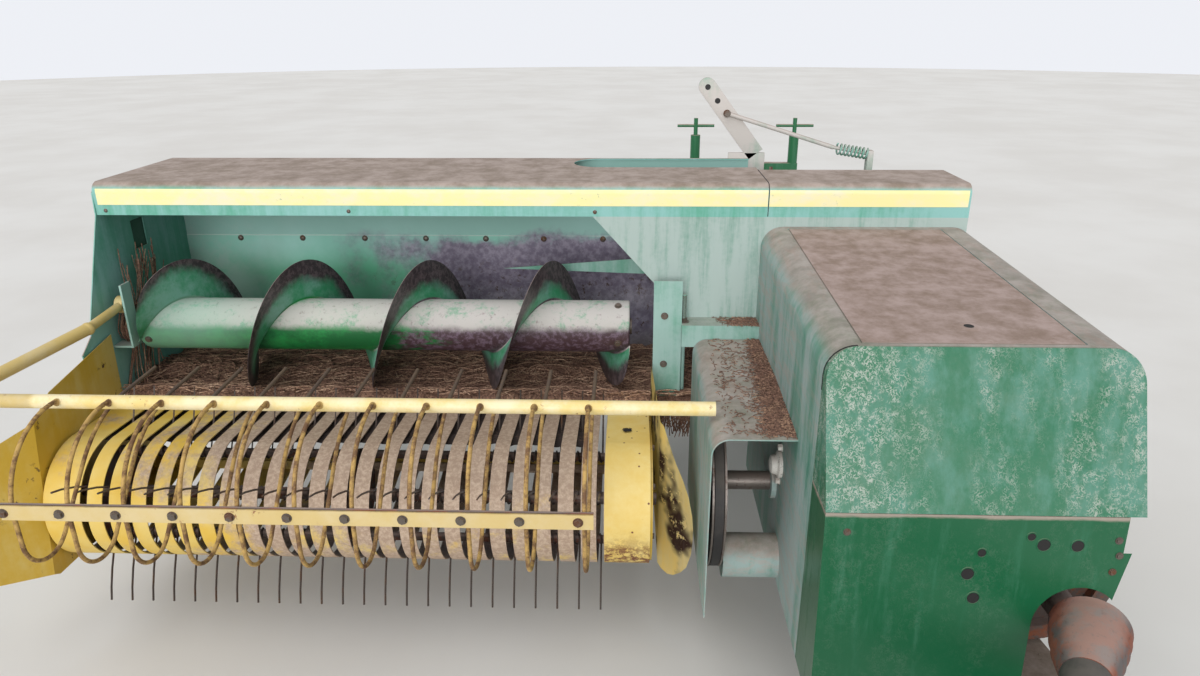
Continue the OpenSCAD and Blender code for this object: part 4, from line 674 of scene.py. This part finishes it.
def dress_auger():
    low, high = edges_of("auger")
    start, end = -2.095, high.x
    y, z, tube, tip = 0.015, 0.790, 0.0775, 0.195
    bm = bmesh.new()
    add_spun(bm, [(0, 0.02), (0, tube - 0.022), (0.003, tube - 0.010), (0.010, tube - 0.003), (0.022, tube),
                  (end - start - 0.004, tube), (end - start - 0.001, tube - 0.003), (end - start, tube - 0.010),
                  (end - start, 0.02)], at(start, y, z), X, -Y, 64)
    add_spun(bm, [(-0.070, 0.0), (-0.070, 0.022), (0.002, 0.022)], at(start, y, z), X, -Y, 24)
    bm_flight = bmesh.new()
    pitch = (end - start) / 4
    steps = 4 * 60
    corners = [(-0.002, tube - 0.001), (-0.0012, tip - 0.004), (-0.0006, tip), (0.0006, tip), (0.0012, tip - 0.004),
               (0.002, tube - 0.001)]
    out = Vector((0, math.cos(math.radians(209)), math.sin(math.radians(209))))
    verts = [bm_flight.verts.new(at(start, y, z) + X * along + out * away) for along, away in corners]
    rim = [bm_flight.edges.new(pair) for pair in zip(verts, verts[1:] + verts[:1])]
    first = bm_flight.faces.new(verts)
    bmesh.ops.spin(bm_flight, geom=[first], cent=at(start, y, z), axis=X, dvec=X * pitch * 4 / steps,
                   angle=-4 * math.tau, steps=steps, use_merge=False)
    for vert in bm_flight.verts:
        place = vert.co - at(start, y, z)
        turn, away = place.x / pitch, math.hypot(place.y, place.z)
        rise = min(1.0, max(0.0, turn) / 0.24)
        share = rise * rise * (3 - 2 * rise) if turn < 1 else 1 - 0.22 * max(0.0, turn - 3.7) / 0.3
        if turn > 3.94:
            share *= math.sqrt(max(0.0, 1 - ((turn - 3.94) / 0.062) ** 2))
        if away > tube:
            reach = (tube + (away - tube) * share) / away
            vert.co.y += place.y * (reach - 1)
            vert.co.z += place.z * (reach - 1)
    bmesh.ops.remove_doubles(bm_flight, verts=bm_flight.verts[:], dist=0.00002)
    flight = bpy.data.meshes.new("flight")
    outward(bm_flight).to_mesh(flight)
    bm_flight.free()
    outward(bm)
    bm.from_mesh(flight)
    bpy.data.meshes.remove(flight)
    piece("auger_with_flights", bm, AUGER_PAINT, "auger", 35, ("auger",))
    bm = bmesh.new()
    for x in (start + 0.035, end - 0.035):
        for turn in range(4):
            angle = math.radians(200 + 90 * turn)
            out = Vector((0, math.cos(angle), math.sin(angle)))
            add_bolt(bm, at(x, y, z) + out * tube, out, 0.008, 0.006)
    add_rod(bm, at(end, y, z), at(end + 0.006, y, z), 0.024, 20)
    piece("auger_bolts", outward(bm), BOLT_METAL, "auger")


# Pickup


def dress_reel():
    """Tine bars, discs and spring tines with their coils."""
    low, high = edges_of("tine_reel")
    y, z, bar_r = -0.338, 0.412, 0.112
    first, pitch, count = -2.180 + 0.130, 0.059, 24
    bm = bmesh.new()
    add_rod(bm, at(low.x, y, z), at(high.x, y, z), 0.017, 20)
    left, right = first - 0.024, first + 23 * pitch + 0.024
    for x in (left, (left + right) / 2 - 0.004, right - 0.008):
        add_rod(bm, at(x, y, z), at(x + 0.008, y, z), 0.128, 40)
    lines = []
    for k in range(4):
        angle = math.radians(60 + 90 * k)
        out = Vector((0, math.cos(angle), math.sin(angle)))
        side = Vector((0, -math.sin(angle), math.cos(angle)))
        middle = at(0, y, z) + out * bar_r
        add_rod(bm, middle + X * left, middle + X * right, 0.012, 12)
        for i in range(count):
            hub = middle + X * (first + i * pitch)
            coil = []
            for step in range(19):
                swing = -math.pi / 2 - math.tau * 1.5 + math.tau * 1.5 * step / 18
                coil.append(hub + (out * math.cos(swing) + side * math.sin(swing)) * 0.0148
                            + X * (0.0012 * step - 0.0216))
            foot = hub - side * 0.0148
            lines.append(coil + [foot + out * 0.03, foot + out * 0.10 + side * 0.001, foot + out * 0.150 + side * 0.006,
                                 foot + out * 0.186 + side * 0.0135])
    piece("tine_bars", outward(bm), IRON, "reel", 40, ("tine_reel",))
    piece("spring_tines", wire_mesh("spring_tines", lines, 0.0027, 0), SPRING_WIRE, "reel", 80)


def dress_windguard():
    """Rod eyes, bolts on the bar, the bar's rusty top flange and a pipe cap."""
    low, high = edges_of("windguard")
    first, pitch, count = -2.175 + 0.201, 0.126, 11
    front = low.y
    bm = bmesh.new()
    caps = bmesh.new()
    for i in range(count):
        x = first + i * pitch
        add_dome(caps, at(x, -0.580 - 0.0165, 0.8115), Vector((0, -1, 0.35)), 0.0095, 0.006)
        add_bolt(bm, at(x - 0.013, front, 0.649), -Y, 0.0085, 0.007)
    piece("guard_bolts", outward(bm), BOLT_METAL, "windguard")
    add_rod(caps, at(high.x - 0.003, -0.580, 0.806), at(high.x, -0.580, 0.806), 0.0168, 24)
    piece("rod_eyes", outward(caps), GUARD_PAINT, "windguard")
    bm = bmesh.new()
    add_block(bm, at(first - 0.020, front + 0.004, 0.6668), at(first + 10 * pitch + 0.020, front + 0.010, 0.6698), 0.0008)
    piece("bar_flange", bm, IRON, "windguard", 30)


def dress_pickup():
    """The torn hole in the wide band, the trims of the flares and their bolts."""
    draw = random.Random(5)
    # A dark disc in the wide band's torn hole: painted shade inside the hole.
    bm = bmesh.new()
    up = Vector((0, 1, -0.06)).normalized()
    centre = at(-0.624, -0.262, 0.5848)
    ring = bmesh.ops.create_circle(bm, cap_ends=True, segments=22, radius=0.013)["verts"]
    for vert in ring:
        reach = 0.75 + 0.55 * draw.random()
        vert.co = centre + X * vert.co.x * reach + up * vert.co.y * reach * 0.9
    piece("torn_hole", bm, HOLE_SHADE_AND_JOINT, "pickup", 0)
    near = edges_of("near_flare")[0].x
    bm = bmesh.new()
    columns = []
    for reach, low, high in ((0.0, 0.425, 0.704), (0.07, 0.385, 0.694), (0.14, 0.335, 0.684), (0.21, 0.280, 0.672),
                             (0.27, 0.225, 0.660), (0.285, 0.215, 0.657), (0.30, 0.205, 0.650), (0.33, 0.203, 0.600),
                             (0.355, 0.214, 0.562), (0.385, 0.240, 0.528), (0.410, 0.272, 0.488), (0.427, 0.322, 0.440),
                             (0.432, 0.362, 0.402)):
        turned = max(0.0, reach - 0.285)
        x = near + 0.0005 + min(reach, 0.285) * math.sin(math.radians(4)) + turned * math.sin(math.radians(36))
        y = -0.070 - min(reach, 0.285) * math.cos(math.radians(4)) - turned * math.cos(math.radians(36))
        columns.append([bm.verts.new(at(x, y, low + (high - low) * k / 6)) for k in range(7)])
    faces = [bm.faces.new((a[k], b[k], b[k + 1], a[k + 1])) for a, b in zip(columns, columns[1:]) for k in range(6)]
    bmesh.ops.solidify(bm, geom=faces, thickness=0.002)
    add_block(bm, at(near, -0.130, 0.430), at(near + 0.002, -0.060, 0.530))
    piece("near_flare_sheet", outward(bm), YELLOW_NEAR, "pickup", 40, ("near_flare",))
    bm = bmesh.new()
    for y, z in ((-0.095, 0.455), (-0.095, 0.505)):
        add_bolt(bm, at(near + 0.0020, y, z), X, 0.007)
    far = edges_of("pickup_frame")[0].x
    for y, z in ((-0.12, 0.50), (-0.30, 0.55), (-0.42, 0.50), (-0.44, 0.36), (-0.20, 0.36)):
        add_bolt(bm, at(far, y, z), -X, 0.008)
        add_bolt(bm, at(edges_of("pickup_frame")[1].x, y, z), X, 0.008)
    piece("pickup_bolts", outward(bm), BOLT_METAL, "pickup")


# Drive shield and belt guard


def on_lower_panel(z):
    """How far ahead the lower front panel stands at a height."""
    return -0.970 - (0.780 - z) / 0.450 * 0.030


def dress_shield():
    slope = math.atan2(0.030, 0.450)
    out = Vector((0, -math.cos(slope), math.sin(slope)))
    up = out.cross(X)
    if up.z < 0:
        up.negate()
    holes, rims, bolts = bmesh.new(), bmesh.new(), bmesh.new()
    # Dark discs sunk in the lower panel's holes are painted shade inside the holes; each hole has a raised rim.
    for x, z, radius in ((0.031, 0.655, 0.012), (0.048, 0.602, 0.0115), (0.165, 0.720, 0.012), (0.228, 0.719, 0.0115),
                         (0.052, 0.701, 0.008), (0.140, 0.737, 0.0075)):
        centre = at(x, on_lower_panel(z), z)
        add_rod(holes, centre - out * 0.002, centre + out * 0.0006, radius, 24)
        add_spun(rims, [(-0.0005, radius), (0.0010, radius + 0.0006), (0.0010, radius + 0.0022), (-0.0005, radius + 0.0030)],
                 centre, out, X, 28)
    for x, z in ((0.302, 0.732), (0.308, 0.700), (0.301, 0.665), (-0.205, 0.741)):
        add_bolt(bolts, at(x, on_lower_panel(z), z), out, 0.0055, 0.004)
    drop = math.atan2(0.028, 0.852)
    high_z = 1.100 - 0.749 * math.tan(drop)
    lid_up = Vector((0, -math.sin(drop), math.cos(drop)))
    # A dark disc in the lid's hole: painted shade inside the hole.
    lid_hole = bmesh.new()
    spot = at(0.055, -0.749, high_z + 0.0008)
    add_rod(lid_hole, spot - lid_up * 0.002, spot + lid_up * 0.0012, 0.0105, 24)
    piece("lid_hole", outward(lid_hole), HOLE_SHADE_AND_JOINT, "shield_lid")
    dimple = bmesh.new()
    add_spun(dimple, [(-0.0005, 0.028), (0.0014, 0.020), (0.0018, 0.014), (0.0012, 0.0100)], spot, lid_up, X, 32)
    piece("lid_dimple", outward(dimple), GREEN_LID, "shield_lid", 60)
    piece("panel_holes", outward(holes), HOLE_SHADE_AND_JOINT, "baler")
    piece("panel_hole_rims", outward(rims), GREEN_LOWER, "baler")
    piece("panel_bolts", outward(bolts), BOLT_METAL, "baler")
    # A dark strip in the gap at the shield's brow: painted shade in the gap.
    bm = bmesh.new()
    line = []
    for k in range(9):
        angle = math.radians(180 - 90 * k / 8)
        line.append(Vector((0.0606 * math.cos(angle) - 0.188, -0.8505, 1.072 - 0.060 + 0.0606 * math.sin(angle))))
    add_strip(bm, [Vector((-0.2486, -0.8505, 0.98))] + line, at(0, 0, 0), Y * 0.005, 0.0008)
    piece("brow_gap", outward(bm), HOLE_SHADE_AND_JOINT, "baler")


def dress_belt():
    """The V belt round its sheave and the driven pulley, and a bearing on the shield's wall."""
    y, z, radius = -0.455, 0.545, 0.206
    x = edges_of("belt_sheave")[0].x + 0.017
    small_y, small_z, small_r = -0.150, 0.640, 0.052
    way = Vector((0, small_y - y, small_z - z))
    lean = math.atan2(way.z, way.y)
    open_angle = math.acos((radius - small_r) / way.length)
    loop = []
    for k in range(33):
        angle = lean + open_angle + (math.tau - 2 * open_angle) * k / 32
        loop.append((y + radius * math.cos(angle), z + radius * math.sin(angle)))
    for k in range(13):
        angle = lean - open_angle + 2 * open_angle * k / 12
        loop.append((small_y + small_r * math.cos(angle), small_z + small_r * math.sin(angle)))
    bm = bmesh.new()
    rings = []
    middle = Vector((0, sum(p[0] for p in loop) / len(loop), sum(p[1] for p in loop) / len(loop)))
    for index, (py, pz) in enumerate(loop):
        ahead = Vector((0, *loop[(index + 1) % len(loop)])) - Vector((0, *loop[index - 1]))
        out = ahead.cross(X).normalized()
        if out.dot(Vector((0, py, pz)) - middle) < 0:
            out.negate()
        centre = at(x, py, pz)
        rings.append([bm.verts.new(centre + X * side + out * rise)
                      for side, rise in ((-0.0055, -0.006), (-0.0105, 0.008), (0.0105, 0.008), (0.0055, -0.006))])
    sections = [[bm.edges.new((ring[k], ring[(k + 1) % 4])) for k in range(4)] for ring in rings]
    for this, following in zip(sections, sections[1:] + sections[:1]):
        bmesh.ops.bridge_loops(bm, edges=this + following)
    piece("v_belt", outward(bm), BLACK_RUBBER, "baler", 50)
    bm = bmesh.new()
    add_spun(bm, [(-0.017, 0.0), (-0.017, small_r + 0.012), (-0.011, small_r + 0.012), (-0.006, small_r - 0.008),
                  (0.006, small_r - 0.008), (0.011, small_r + 0.012), (0.017, small_r + 0.012), (0.017, 0.0)],
             at(x, small_y, small_z), X, Y, 36)
    add_rod(bm, at(x, small_y, small_z), at(-0.2482, small_y, small_z), 0.018, 16)
    piece("driven_pulley", outward(bm), IRON, "baler")
    bm = bmesh.new()
    add_spun(bm, [(0.0, 0.0), (0.0, 0.034), (0.008, 0.034), (0.012, 0.026), (0.024, 0.022), (0.028, 0.012), (0.028, 0.0)],
             at(-0.2481, -0.525, 0.632), -X, Y, 32)
    for spread in (-0.046, 0.046):
        add_bolt(bm, at(-0.2481, -0.525, 0.632 + spread), -X, 0.008, 0.010)
    piece("wall_bearing", outward(bm), PALE_CASTING, "baler")
    bm = bmesh.new()
    add_rod(bm, at(-0.366, y, z), at(-0.282, y, z), 0.0235, 28)
    piece("sheave_spacer", bm, PALE_CASTING, "belt_sheave")


def dress_bracket():
    """Nut, washers and thread on the lift bracket's rod."""
    bm = bmesh.new()
    x, y = -0.463, -0.040
    for k in range(46):
        z = 0.834 + 0.0016 * k
        add_spun(bm, [(-0.0007, 0.0058), (0, 0.0068), (0.0007, 0.0058)], at(x, y, z), Z, X, 12)
    add_rod(bm, at(x, y, 0.826), at(x, y, 0.8275), 0.016, 20)
    add_rod(bm, at(x, y, 0.8275), at(x, y, 0.838), 0.011, 6)
    add_rod(bm, at(x, y, 0.812), at(x, y, 0.822), 0.011, 6)
    for px, pz in ((-0.520, 0.850), (-0.520, 0.700)):
        add_bolt(bm, at(px, -0.060, pz), -Y, 0.008)
    piece("bracket_fittings", outward(bm), BOLT_METAL, "baler")


# Drive line and tongue


def on_tongue(x, y, z):
    """A place beside the swing axis, turned as the tongue is parked."""
    turn = math.radians(-29)
    return at(0.250 + x * math.cos(turn) - y * math.sin(turn), -1.040 + x * math.sin(turn) + y * math.cos(turn), z)


def dress_drive_line():
    ahead = (on_tongue(0, -1, 0) - on_tongue(0, 0, 0)).normalized()
    across = (on_tongue(1, 0, 0) - on_tongue(0, 0, 0)).normalized()
    height = 0.545
    bell = bmesh.new()
    add_spun(bell, [(-0.050, 0.0695), (-0.050, 0.0720), (-0.034, 0.0690), (-0.022, 0.0706), (-0.006, 0.0662),
                    (0.008, 0.0672), (0.026, 0.0620), (0.042, 0.0612), (0.070, 0.0530), (0.085, 0.0486), (0.100, 0.0440),
                    (0.100, 0.0232), (0.080, 0.0300), (0.020, 0.0560), (-0.050, 0.0695)],
             on_tongue(0, 0, height), ahead, across, 48)
    piece("shaft_bell", outward(bell), BELL_RUST, "tongue", 50, ("pto_guard",))
    tube = bmesh.new()
    add_spun(tube, [(0.098, 0.0232), (0.098, 0.0425), (0.180, 0.0430), (0.200, 0.0430), (0.203, 0.0415), (0.616, 0.0415),
                    (0.620, 0.0430), (0.634, 0.0430), (0.636, 0.0360), (1.236, 0.0360), (1.240, 0.0345), (1.240, 0.0232),
                    (0.098, 0.0232)],
             on_tongue(0, 0, height), ahead, across, 40)
    piece("shaft_tube", outward(tube), GUARD_TUBE, "tongue", 50)
    bm = bmesh.new()
    for y, z in ((-1.44, 0.360), (-1.30, 0.360), (-0.10, 0.360)):
        add_bolt(bm, on_tongue(0.0, y, z), Z, 0.012, 0.010)
    for y in (-1.17 - 0.022, -1.17 + 0.022):
        for z in (0.285, 0.330):
            add_bolt(bm, on_tongue(0.045, y, z), across, 0.010, 0.009)
    add_rod(bm, on_tongue(0, 0, 0.374), on_tongue(0, 0, 0.386), 0.042, 24)
    piece("tongue_bolts", outward(bm), BOLT_METAL, "tongue")


def dress_jack():
    """Cap, gear head and crank of the jack, on the tongue."""
    x, y, top = -0.092, -1.170, 0.770
    across = (on_tongue(1, 0, 0) - on_tongue(0, 0, 0)).normalized()
    bm = bmesh.new()
    axis = on_tongue(x, y, 0)
    add_spun(bm, [(top, 0.0), (top, 0.030), (top + 0.004, 0.036), (top - 0.020, 0.038), (top - 0.021, 0.0352)],
             axis, Z, X, 32)
    add_rod(bm, on_tongue(x, y, top - 0.045), on_tongue(x - 0.085, y, top - 0.045), 0.011, 14)
    add_block(bm, on_tongue(x - 0.085, y, top - 0.045) - Vector((0.006, 0.006, 0.160)),
              on_tongue(x - 0.085, y, top - 0.045) + Vector((0.006, 0.006, 0.012)), 0.002)
    add_rod(bm, on_tongue(x - 0.085, y, top - 0.195), on_tongue(x - 0.185, y, top - 0.195), 0.011, 14)
    piece("jack_crank", outward(bm), ZINC, "tongue")
    bm = bmesh.new()
    add_rod(bm, on_tongue(x - 0.186, y, top - 0.195), on_tongue(x - 0.100, y, top - 0.195), 0.014, 16)
    piece("jack_grip", bm, BLACK_RUBBER, "tongue")


# Wheels


def dress_wheel(side, x, z, radius, width, rim_r=0.190, ribs=5, lugs=6):
    """A ribbed implement tyre, with its rim's bolts, hub cap and valve."""
    name = "near" if side > 0 else "far"
    body = name + "_wheel"
    centre = at(x, 1.250, z)
    half = width / 2
    outline = [(-half + 0.032, rim_r + 0.0006), (-half + 0.022, rim_r + 0.014), (-half + 0.010, rim_r + 0.026),
               (-half + 0.003, rim_r + 0.045), (-half, (rim_r + radius) / 2 - 0.005), (-half, radius - 0.075),
               (-half + 0.004, radius - 0.050), (-half + 0.012, radius - 0.030), (-half + 0.022, radius - 0.014)]
    tread = half - 0.030
    groove = 2 * tread / (ribs * 1.6)
    rib = (2 * tread - groove * (ribs - 1)) / ribs
    edge = -tread
    for k in range(ribs):
        crown = 0.006 * (abs(2 * k / (ribs - 1) - 1)) ** 2
        outline += [(edge, radius - 0.002 - crown), (edge + 0.003, radius - crown), (edge + rib - 0.003, radius - crown),
                    (edge + rib, radius - 0.002 - crown)]
        if k < ribs - 1:
            outline += [(edge + rib + 0.003, radius - 0.013), (edge + rib + groove - 0.003, radius - 0.013)]
        edge += rib + groove
    outline += [(-along, away) for along, away in reversed(outline[:9])]
    bm = bmesh.new()
    add_spun(bm, outline + [outline[0]], centre, X, Z, 96)
    piece(name + "_ribbed_tyre", outward(bm), TYRE_RUBBER, body, 30, (name + "_tyre",))
    bm = bmesh.new()
    face = side * 0.013
    for k in range(lugs):
        angle = math.tau * k / lugs + 0.3
        spot = centre + X * face + Vector((0, math.cos(angle), math.sin(angle))) * 0.078
        add_bolt(bm, spot, X * side, 0.011, 0.014)
    outer = centre + X * side * 0.060
    add_spun(bm, [(0.0, 0.046), (0.006, 0.044), (0.018, 0.038), (0.024, 0.024), (0.026, 0.0)], outer, X * side, Z, 32)
    piece(name + "_wheel_bolts", outward(bm), BOLT_METAL, body)
    bm = bmesh.new()
    foot = centre + Vector((side * (half - 0.055), 0.172, 0.0))
    add_rod(bm, foot, foot + Vector((side * 0.040, -0.012, 0.0)), 0.0045, 12)
    add_rod(bm, foot + Vector((side * 0.038, -0.011, 0)), foot + Vector((side * 0.050, -0.0145, 0)), 0.0058, 12)
    piece(name + "_valve", outward(bm), BLACK_RUBBER, body)


# Feeder linkage on the hood


def dress_feeder():
    """The swing arm with its holes, the rod with its coil spring, and the bracket."""
    foot, tip = Vector((-0.210, 0, 1.232)), Vector((-0.394, 0, 1.470))
    way = (tip - foot).normalized()
    side = way.cross(Y).normalized()
    y = 0.4653
    bm = bmesh.new()
    half, thick, length = 0.028, 0.010, (tip - foot).length
    ring = []
    for k in range(13):
        angle = -math.pi / 2 + math.pi * k / 12
        ring.append(tip - way * half + (way * math.cos(angle) + side * math.sin(angle)) * half)
    ring += [foot + side * half, foot - side * half]
    face = bm.faces.new([bm.verts.new(at(p.x, y, p.z)) for p in ring])
    swept = bmesh.ops.extrude_face_region(bm, geom=[face])["geom"]
    bmesh.ops.translate(bm, vec=Y * thick, verts=[v for v in swept if isinstance(v, bmesh.types.BMVert)])
    outward(bm)
    rims = [e for e in bm.edges if e.calc_face_angle(0) > 0.5 and abs(e.verts[0].co.y - e.verts[1].co.y) < 0.001]
    bmesh.ops.bevel(bm, geom=rims, offset=0.0012, segments=2, profile=0.5, affect="EDGES", material=-1)
    add_block(bm, at(-0.300, y, 1.130), at(-0.180, y + 0.010, 1.238), 0.0015)
    rod_y = y - 0.0073
    add_rod(bm, at(-0.312, rod_y, 1.365), at(0.040, rod_y, 1.2565), 0.007, 16)
    add_rod(bm, at(0.040, rod_y, 1.2565), at(0.158, rod_y, 1.2350), 0.0055, 14)
    add_rod(bm, at(-0.312, rod_y - 0.008, 1.365), at(-0.312, y + 0.012, 1.365), 0.009, 16)
    add_block(bm, at(0.150, rod_y - 0.014, 0.861), at(0.170, rod_y + 0.014, 1.247), 0.0015)
    piece("feeder_arm", bm, ARM_PAINT, "baler", 35, ("feeder_linkage",))
    start, end = at(0.052, rod_y, 1.2520), at(0.150, rod_y, 1.2362)
    along = (end - start).normalized()
    up = along.cross(Y).normalized()
    if up.z < 0:
        up.negate()
    coil = []
    for k in range(8 * 14 + 1):
        angle = math.tau * k / 14
        coil.append(start + (end - start) * k / 112 + (up * math.cos(angle) + Y * math.sin(angle)) * 0.0165)
    piece("feeder_spring", wire_mesh("feeder_spring", [coil], 0.0032, 1), GREEN_POST, "baler", 60)
    # Dark discs through the arm's holes: painted shade inside the holes.
    bm = bmesh.new()
    for share in (0.55, 0.72, 0.90):
        spot = foot + way * length * share
        add_rod(bm, at(spot.x, y - 0.0006, spot.z), at(spot.x, y + thick + 0.0006, spot.z), 0.009, 20)
    piece("arm_holes", outward(bm), HOLE_SHADE_AND_JOINT, "baler")
    bm = bmesh.new()
    for x, z in ((-0.275, 1.165), (-0.205, 1.165)):
        add_bolt(bm, at(x, y + 0.010, z), Y, 0.009)
    add_bolt(bm, at(-0.312, rod_y - 0.008, 1.365), -Y, 0.009)
    piece("feeder_bolts", outward(bm), BOLT_METAL, "baler")


# Hay, straw and chaff


def platform_top(y):
    """Height of the platform's floor and its bend up to the back wall."""
    bend_y, bend_z, bend_r = 0.232, 0.800, 0.227
    if y < bend_y:
        return 0.570
    return bend_z - math.sqrt(max(bend_r ** 2 - (y - bend_y) ** 2, 0.0))


def hay_height(x, y):
    """Top of the hay in the trough: under the auger's sweep, piled a little before and behind."""
    ripple = noise.noise(Vector((x * 3.1, y * 5.3, 0.4))) * 0.5 + noise.noise(Vector((x * 11, y * 15, 2.2))) * 0.3
    depth = 0.030 + 0.016 * ripple
    if y > 0.18:
        depth *= max(0.0, 1 - (y - 0.18) / 0.16)
    if y < 0.0:
        depth += 0.10 * min(-y, 0.08)
    top = platform_top(y) + depth
    if y < -0.036:
        top -= (-0.036 - y) * 0.10
    gap = 0.205 ** 2 - (y - 0.015) ** 2
    if gap > 0:
        top = min(top, 0.790 - math.sqrt(gap))
    return top


def strand(draw, x, y, heading, length, rise, top=hay_height, bends=4, curl=0.35):
    """One stalk lying over the hay: a few places that follow its top."""
    line = []
    for k in range(bends + 1):
        line.append((x, y, top(x, y) + rise * math.sin(math.pi * (k + 0.5) / (bends + 1))))
        heading += draw.uniform(-curl, curl)
        x += math.cos(heading) * length / bends
        y += math.sin(heading) * length / bends
    return line


def lay_hay():
    draw = random.Random(11)
    far, near = -2.166, -0.262
    bm = bmesh.new()
    across, deep = 150, 26
    bmesh.ops.create_grid(bm, x_segments=across, y_segments=deep, size=0.5)
    front, back = -0.075, 0.345
    for vert in bm.verts:
        x = far + (near - far) * (vert.co.x + 0.5)
        y = front + (back - front) * (vert.co.y + 0.5)
        top = hay_height(x, y) + 0.006 * noise.noise(Vector((x * 40, y * 40, 0)))
        edge = vert.co.y + 0.5
        if edge < 0.02:
            top = platform_top(y) + 0.002
        vert.co = at(x, y, top)
    piece("hay_mat", outward(bm), STRAW, "baler", 80)
    lines = []
    for _ in range(4600):
        x, y = draw.uniform(far + 0.02, near - 0.02), draw.triangular(-0.08, 0.30, -0.05)
        heading = draw.gauss(0.1, 0.60) + (math.pi if draw.random() < 0.5 else 0.0)
        line = strand(draw, x, y, heading, draw.uniform(0.06, 0.20), draw.uniform(0.002, 0.018))
        inside = [p for p in line if far < p[0] < near and -0.090 < p[1] < 0.33]
        if len(inside) > 2:
            lines.append([at(*p) for p in inside])
    # A mat of very dark straw under and behind the bands: hay, darkened as painted shade so the gaps between the bands
    # show dark instead of the floor.
    bm = bmesh.new()
    bmesh.ops.create_grid(bm, x_segments=120, y_segments=16, size=0.5)
    for vert in bm.verts:
        x, y = -1.424 + 1.440 * vert.co.x, -0.190 + 0.290 * vert.co.y
        vert.co = at(x, y, 0.571 - 0.052 * (y + 0.335) + 0.008 * noise.noise(Vector((x * 30, y * 30, 4))))
    piece("hay_and_shade_under_bands", outward(bm), PAINTED_SHADE_STRAW, "pickup", 80)
    for part, finish in enumerate((STRAW, STRAW, PALE_STRAW)):
        piece("hay_stalks_%d" % (part + 1), wire_mesh("stalks", lines[part::3], 0.0016, 0), finish, "baler", 80)
    lines = []
    for _ in range(420):
        x = draw.uniform(-0.548, -0.270)
        y, z = draw.uniform(-0.045, -0.020), draw.uniform(0.574, 0.590)
        drop, swing = draw.uniform(0.02, 0.12) * (1.0 if x < -0.40 else 0.4), draw.gauss(0.0, 0.03)
        lines.append([at(x - swing * 0.4, y + 0.05, z), at(x, y, z + 0.002), at(x + swing * 0.5, y - 0.022, z - drop * 0.5),
                      at(x + swing, y - 0.026, z - drop)])
    piece("hanging_hay", wire_mesh("hanging_hay", lines, 0.0014, 0), STRAW, "baler", 80)


def chaff_on(name, body, count, low, high, top, draw, length=(0.006, 0.030), weight=None):
    """Short bits of straw scattered on a top face."""
    lines = []
    while len(lines) < count:
        x, y = draw.uniform(low[0], high[0]), draw.uniform(low[1], high[1])
        if weight and draw.random() > weight(x, y):
            continue
        heading = draw.uniform(0, math.tau)
        reach = draw.uniform(*length)
        z = top(x, y)
        line = [at(x, y, z), at(x + math.cos(heading) * reach / 2, y + math.sin(heading) * reach / 2, z + 0.003 * draw.random()),
                at(x + math.cos(heading + 0.3) * reach, y + math.sin(heading + 0.3) * reach, z + 0.001)]
        lines.append(line)
    return piece(name, wire_mesh(name, lines, 0.0009, 0), STRAW, body, 80)


def lay_chaff():
    draw = random.Random(23)

    def guard_top(x, y):
        heap = max(0.0, 1 - abs(x + 0.252) / 0.065) * max(0.0, 1 - abs(y + 0.36) / 0.36)
        return 0.7855 + 0.014 * heap * draw.random()

    chaff_on("guard_chaff", "baler", 3600, (-0.40, -0.67), (-0.2505, -0.08), guard_top, draw, (0.005, 0.026),
             weight=lambda x, y: 0.02 + 0.98 * max(0.0, 1 - (-x - 0.25) / (0.035 - 0.10 * (y + 0.08))) ** 1.6)
    chaff_on("bracket_chaff", "baler", 260, (-0.42, -0.070), (-0.252, -0.006), lambda x, y: 0.8268, draw,
             weight=lambda x, y: max(0.0, 1 - (-x - 0.25) / 0.13))


def hang_twine():
    """Old twine and hay caught round the auger's far bearing."""
    draw = random.Random(31)
    lines = []
    for _ in range(26):
        x, y = draw.uniform(-2.166, -2.128), draw.uniform(0.06, 0.20)
        z = draw.uniform(0.93, 1.02)
        bow = draw.uniform(0.0, 0.03)
        line = []
        for k in range(9):
            share = k / 8
            line.append(at(x + 0.012 * math.sin(4 * share + x * 90) + bow * share * 0.4,
                           y - 0.10 * share + 0.02 * math.sin(5 * share + y * 70), z - (z - 0.60) * share))
        lines.append(line)
    for _ in range(60):
        angle = draw.uniform(0, math.tau)
        radius = draw.uniform(0.028, 0.062)
        x = draw.uniform(-2.164, -2.118)
        line = []
        for k in range(12):
            turn = angle + math.tau * 0.8 * k / 11
            line.append(at(x + 0.004 * math.sin(3 * turn), 0.015 + radius * math.cos(turn), 0.790 + radius * math.sin(turn)))
        lines.append(line)
    piece("bearing_twine", wire_mesh("bearing_twine", lines, 0.0016, 0), STRAW, "baler", 80)


dress_hood()
dress_auger()
dress_reel()
dress_windguard()
dress_pickup()
dress_shield()
dress_belt()
dress_bracket()
dress_drive_line()
dress_jack()
dress_wheel(1, 0.470, 0.375, 0.375, 0.280)
dress_wheel(-1, -1.920, 0.350, 0.350, 0.175, ribs=3)
dress_feeder()
lay_hay()
lay_chaff()
hang_twine()

floor = bmesh.new()
bmesh.ops.create_circle(floor, cap_ends=True, segments=64, radius=30)
floor_mesh = bpy.data.meshes.new("floor")
floor.to_mesh(floor_mesh)
floor.free()
floor_piece = bpy.data.objects.new("floor", floor_mesh)
bpy.context.scene.collection.objects.link(floor_piece)
floor_mesh.materials.append(pale_floor())

place_camera()
light_up()
